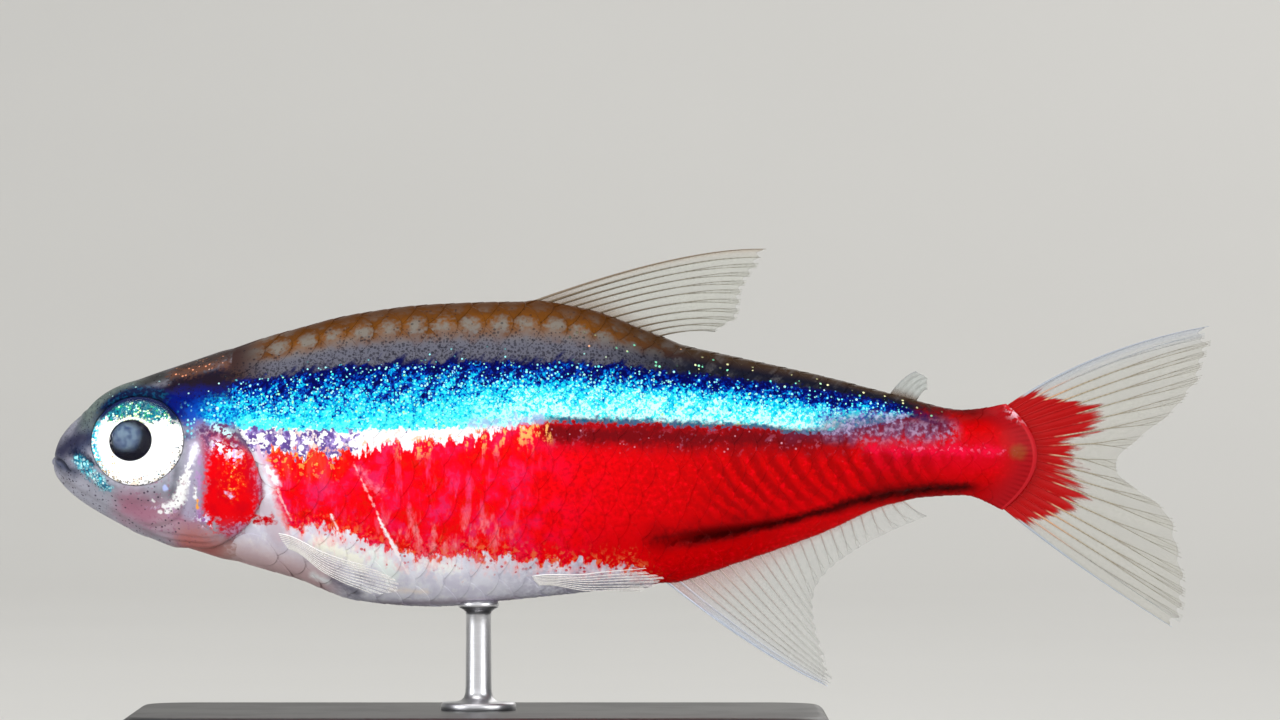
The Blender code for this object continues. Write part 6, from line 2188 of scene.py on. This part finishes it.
def ray_material(name, count, root, tip, joint, front):
    """Jointed rays of one fin."""
    bone = {"Roughness": 0.34, "Specular IOR Level": 0.15, "Coat Weight": 0.05}
    made, w, shader = new_material(name, bone)
    bones = w.group(
        JOINTS, Along=w.attribute("out"), Count=count, Root=(*root, 1), Tip=(*tip, 1), Joint=(*joint, 1),
    )
    colour = w.mix(w.step(w.attribute("across"), 0.10, 0.0), bones["Colour"], front)
    if name == "caudal_rays":
        patchy = (w.noise(1.4, 2) - 0.5) * 3.0
        red = tail_red(w, patchy + 0.7)
        pale = w.mix(w.step(w.attribute("along"), 41.4, 39.6), colour, (0.62, 0.34, 0.20))
        colour = w.mix(red, pale, CAUDAL_RED)
        edge = w.step(abs(w.attribute("across") - 0.5), 0.42, 0.49)
        colour = w.mix(edge * (1.0 - red), colour, (0.4, 0.44, 0.5))
    w.feed(shader["Base Color"], colour)
    w.feed(shader["Normal"], bumped(w, bones["Height"], 0.02, 0.6))
    return made


FIN_PAINTS = {
    # membrane: rays, opacity at its clearest and densest, colour, colours of its front edge and root;
    # rays: joints in a ray, colours of its root, tip and joints, colour of the front ray
    "dorsal": (
        (11, 0.16, 0.50, (0.36, 0.37, 0.30), (0.42, 0.34, 0.24), (0.22, 0.13, 0.07)),
        (26.0, (0.15, 0.11, 0.07), (0.30, 0.29, 0.24), (0.10, 0.08, 0.06), (0.22, 0.17, 0.12)),
    ),
    "anal": (
        (24, 0.15, 0.50, (0.42, 0.43, 0.40), (0.50, 0.55, 0.64), (0.55, 0.30, 0.28)),
        (30.0, (0.60, 0.50, 0.46), (0.62, 0.62, 0.60), (0.34, 0.30, 0.28), (0.70, 0.76, 0.88)),
    ),
    "caudal": (
        (19, 0.16, 0.50, (0.33, 0.32, 0.26), (0.40, 0.43, 0.48), (0.36, 0.25, 0.18)),
        (34.0, (0.46, 0.38, 0.26), (0.30, 0.28, 0.23), (0.18, 0.15, 0.11), (0.42, 0.46, 0.52)),
    ),
    "adipose": (
        (5, 0.50, 0.80, (0.40, 0.42, 0.40), (0.36, 0.38, 0.37), (0.16, 0.11, 0.08)),
        (10.0, (0.30, 0.28, 0.25), (0.42, 0.44, 0.43), (0.34, 0.34, 0.34), (0.36, 0.36, 0.36)),
    ),
    "paired": (
        (10, 0.03, 0.12, (0.90, 0.90, 0.90), (0.92, 0.90, 0.86), (0.85, 0.76, 0.70)),
        (24.0, (0.97, 0.94, 0.90), (1.0, 1.0, 0.97), (0.72, 0.68, 0.60), (1.0, 1.0, 0.98)),
    ),
}
FIN_SKINS = {
    name: (membrane_material(name + "_membrane", *membrane), ray_material(name + "_rays", *rays))
    for name, (membrane, rays) in FIN_PAINTS.items()
}
print("fin paints:", ", ".join(FIN_SKINS))

# %% Make the fins
def note_fin(item, points, across, along):
    """Note on each vertex where it lies on its fin and on the fish."""
    add_values(item, "across", across)
    add_values(item, "out", along)
    note_place(item, points)


def make_fin(name, surface, paint, rays, unbranched, thick, fine, uneven, notch, thickness):
    """Membrane piece and ray piece of one fin."""
    reach = reach_of(rays, uneven, notch)
    points, faces, across, along = membrane_mesh(surface, reach, rays, thickness)
    sheet = make_piece(name + "_membrane", points, faces)
    note_fin(sheet, points, across, along)
    points, faces, across, along = ray_tubes(surface, reach, rays, unbranched, thick, fine)
    bones = make_piece(name + "_rays", points, faces)
    note_fin(bones, points, across, along)
    for item in (sheet, bones):
        turn_outwards(item)
        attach(item, "root")
    dress(sheet, FIN_SKINS[paint][0])
    dress(bones, FIN_SKINS[paint][1])
    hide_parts(name)
    print(name, triangles_of(sheet) + triangles_of(bones), "triangles")


MIDLINE_FINS = (
    # name, guide rays, where they root, depth, turns and phase of the wave, then what make_fin takes: rays,
    # unbranched first and last, radius at root and tip, unevenness, notch and thickness
    ("dorsal", DORSAL_GUIDES, on_back, (0.16, 0.7, 0.4), 11, (2, 0), 0.040, 0.011, 0.03, 0.03, 0.05),
    ("anal", ANAL_GUIDES, on_belly, (0.17, 1.2, 1.1), 24, (3, 0), 0.038, 0.010, 0.04, 0.04, 0.05),
    ("caudal", CAUDAL_GUIDES, on_tail_end, (0.18, 1.5, 0.0), 19, (1, 1), 0.044, 0.011, 0.03, 0.025, 0.05),
    ("adipose", ADIPOSE_GUIDES, on_back, (0.03, 0.5, 0.0), 5, (5, 0), 0.012, 0.004, 0.02, 0.015, 0.12),
)
PAIRED_FINS = (
    # name, guide rays, flare and depth of the wave, then the same
    ("pectoral", PECTORAL_GUIDES, 0.70, 0.05, 10, (1, 0), 0.022, 0.008, 0.05, 0.04, 0.04),
    ("pelvic", PELVIC_GUIDES, 0.25, 0.04, 8, (1, 0), 0.022, 0.008, 0.05, 0.04, 0.04),
)
for name, guides, root_of, wave, *build in MIDLINE_FINS:
    make_fin(name + "_fin", median_fin(rooted(guides, root_of), *wave), name, *build)
for side, label in SIDES:
    for name, guides, flare, wave, *build in PAIRED_FINS:
        make_fin(f"{name}_fin_{label}", paired_fin(guides, flare, side, wave), "paired", *build)

# %% [markdown]
# ## Stand
# The live fish needs no stand, so this one is kept out of the way: a thin steel rod under the belly, with a
# small pad at its top that the fish is cemented to and a flange at its foot, and a flat black base with
# soft edges. The rod is a turned shape; the base is a stack of rounded outlines, so its edges catch light.

# %% Rod and base
ROD_X = 17.0
BASE_TOP = 3.0
BASE_LENGTH, BASE_WIDTH, BASE_CORNER = 28.0, 17.0, 2.4
BASE_BEVEL, BASE_FOOT_BEVEL = 0.5, 0.15
ROD_SIDES = 96
PAD_TOP = AXIS_HEIGHT + float(belly_line(ROD_X)) + 0.16
ROD_PROFILE = (
    # radius and height over the table
    (0.0, BASE_TOP - 0.05), (1.44, BASE_TOP - 0.05), (1.50, BASE_TOP + 0.02), (1.50, BASE_TOP + 0.22),
    (1.46, BASE_TOP + 0.29), (1.38, BASE_TOP + 0.32), (0.92, BASE_TOP + 0.34), (0.72, BASE_TOP + 0.39),
    (0.60, BASE_TOP + 0.50), (0.54, BASE_TOP + 0.68), (0.52, BASE_TOP + 0.90), (0.50, PAD_TOP - 1.00),
    (0.50, PAD_TOP - 0.60), (0.54, PAD_TOP - 0.46), (0.66, PAD_TOP - 0.36), (0.78, PAD_TOP - 0.31),
    (0.81, PAD_TOP - 0.26), (0.81, PAD_TOP - 0.12), (0.74, PAD_TOP), (0.0, PAD_TOP + 0.05),
)


def rod_mesh():
    """Rod turned about its own axis, in the fish's frame."""
    profile = np.array(ROD_PROFILE)
    theta = np.linspace(0, 2 * math.pi, ROD_SIDES, endpoint=False)
    points, faces = [(ROD_X, 0.0, profile[0, 1] - AXIS_HEIGHT)], []
    for radius, height in profile[1:-1]:
        points += [(ROD_X + radius * math.cos(a), radius * math.sin(a), height - AXIS_HEIGHT) for a in theta]
    points.append((ROD_X, 0.0, profile[-1, 1] - AXIS_HEIGHT))
    last, rows = len(points) - 1, len(profile) - 2
    for s in range(ROD_SIDES):
        t = (s + 1) % ROD_SIDES
        faces.append((0, 1 + t, 1 + s))
        for row in range(rows - 1):
            a, b = 1 + row * ROD_SIDES, 1 + (row + 1) * ROD_SIDES
            faces.append((a + s, a + t, b + t, b + s))
        faces.append((last, last - ROD_SIDES + s, last - ROD_SIDES + t))
    return points, faces


def rounded_outline(inset, steps=14):
    """Rounded rectangle of the base, drawn in by the inset."""
    half_length, half_width = BASE_LENGTH / 2 - inset, BASE_WIDTH / 2 - inset
    corner = BASE_CORNER - inset
    outline = []
    for sign_x, sign_y, start in ((1, 1, 0), (-1, 1, 90), (-1, -1, 180), (1, -1, 270)):
        for step in range(steps + 1):
            angle = math.radians(start + 90 * step / steps)
            x = sign_x * (half_length - corner) + corner * math.cos(angle)
            y = sign_y * (half_width - corner) + corner * math.sin(angle)
            outline.append((ROD_X + x, y))
    return outline


def base_mesh():
    """Base as a stack of outlines from the underside to the top."""
    layers = [(BASE_FOOT_BEVEL, 0.0), (0.04, 0.04), (0.0, BASE_FOOT_BEVEL)]
    for angle in range(0, 91, 15):
        turn = math.radians(angle)
        layers.append((BASE_BEVEL * (1 - math.cos(turn)), BASE_TOP - BASE_BEVEL * (1 - math.sin(turn))))
    layers += [(BASE_BEVEL + 0.5, BASE_TOP), (BASE_CORNER - 0.2, BASE_TOP)]
    points = []
    for inset, height in layers:
        points += [(x, y, height - AXIS_HEIGHT) for x, y in rounded_outline(inset)]
    return points, stack_faces(len(layers), len(points) // len(layers))


def build_wear():
    """Handling marks: fine scratches and soft smudges."""
    w, grain = new_group("Wear", "Smudge Scratch", Grain=1.0)
    smudge = w.step(w.noise(0.25, 4, 0.6), 0.40, 0.70)
    scratch = w.step(w.noise(2.2, 3, 0.7, (0.25, 3.0, 1.0)), 0.62, 0.72)
    return w.give(Smudge=smudge, Scratch=scratch * grain)


WEAR = build_wear()


def steel_material():
    """Satin steel, turned on a lathe."""
    made, w, shader = new_material("satin_steel", {"Metallic": 1.0})
    wear = w.group(WEAR, Grain=0.6)
    lathe = w.noise(9.0, 2, 0.6, (0.15, 0.15, 4.0))
    w.feed(shader["Base Color"], w.mix(lathe, (0.50, 0.50, 0.52), (0.66, 0.66, 0.68)))
    rough = lathe * 0.12 + 0.24
    w.feed(shader["Roughness"], rough + wear["Smudge"] * 0.08)
    w.feed(shader["Normal"], bumped(w, lathe, 0.01, 0.4))
    return made


def acrylic_material():
    """Satin black acrylic with faint handling marks."""
    made, w, shader = new_material("black_acrylic")
    wear = w.group(WEAR, Grain=1.0)
    colour = w.mix(wear["Smudge"] * 0.3, (0.016, 0.016, 0.018), (0.03, 0.03, 0.033))
    w.feed(shader["Base Color"], w.mix(wear["Scratch"] * 0.25, colour, (0.08, 0.08, 0.085)))
    w.feed(shader["Roughness"], wear["Smudge"] * 0.05 + 0.36)
    w.feed(shader["Normal"], bumped(w, wear["Scratch"], 0.008, 0.3))
    return made


rod_points, rod_faces = rod_mesh()
rod = make_piece("rod", rod_points, rod_faces)
base_points, base_faces = base_mesh()
base = make_piece("base", base_points, base_faces)
for end in (1, 2):
    base.data.polygons[len(base_faces) - end].use_smooth = False
for item, node, material in ((rod, "stand_rod", steel_material()), (base, "stand_base", acrylic_material())):
    turn_outwards(item)
    dress(item, material)
    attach(item, "root")
    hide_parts(node)
    print(item.name, triangles_of(item), "triangles")


def cove_material():
    """Pale matt paper that can be looked through from its outside."""
    made, w, shader = new_material("cove_paper", {"Roughness": 0.9, "Specular IOR Level": 0.1})
    mottle = w.noise(0.02, 2)
    w.feed(shader["Base Color"], w.mix(mottle, (0.70, 0.69, 0.66), (0.73, 0.72, 0.69)))
    seen_through(made, w, w.node("NewGeometry").outputs["Backfacing"])
    return made


dress(cove, cove_material())
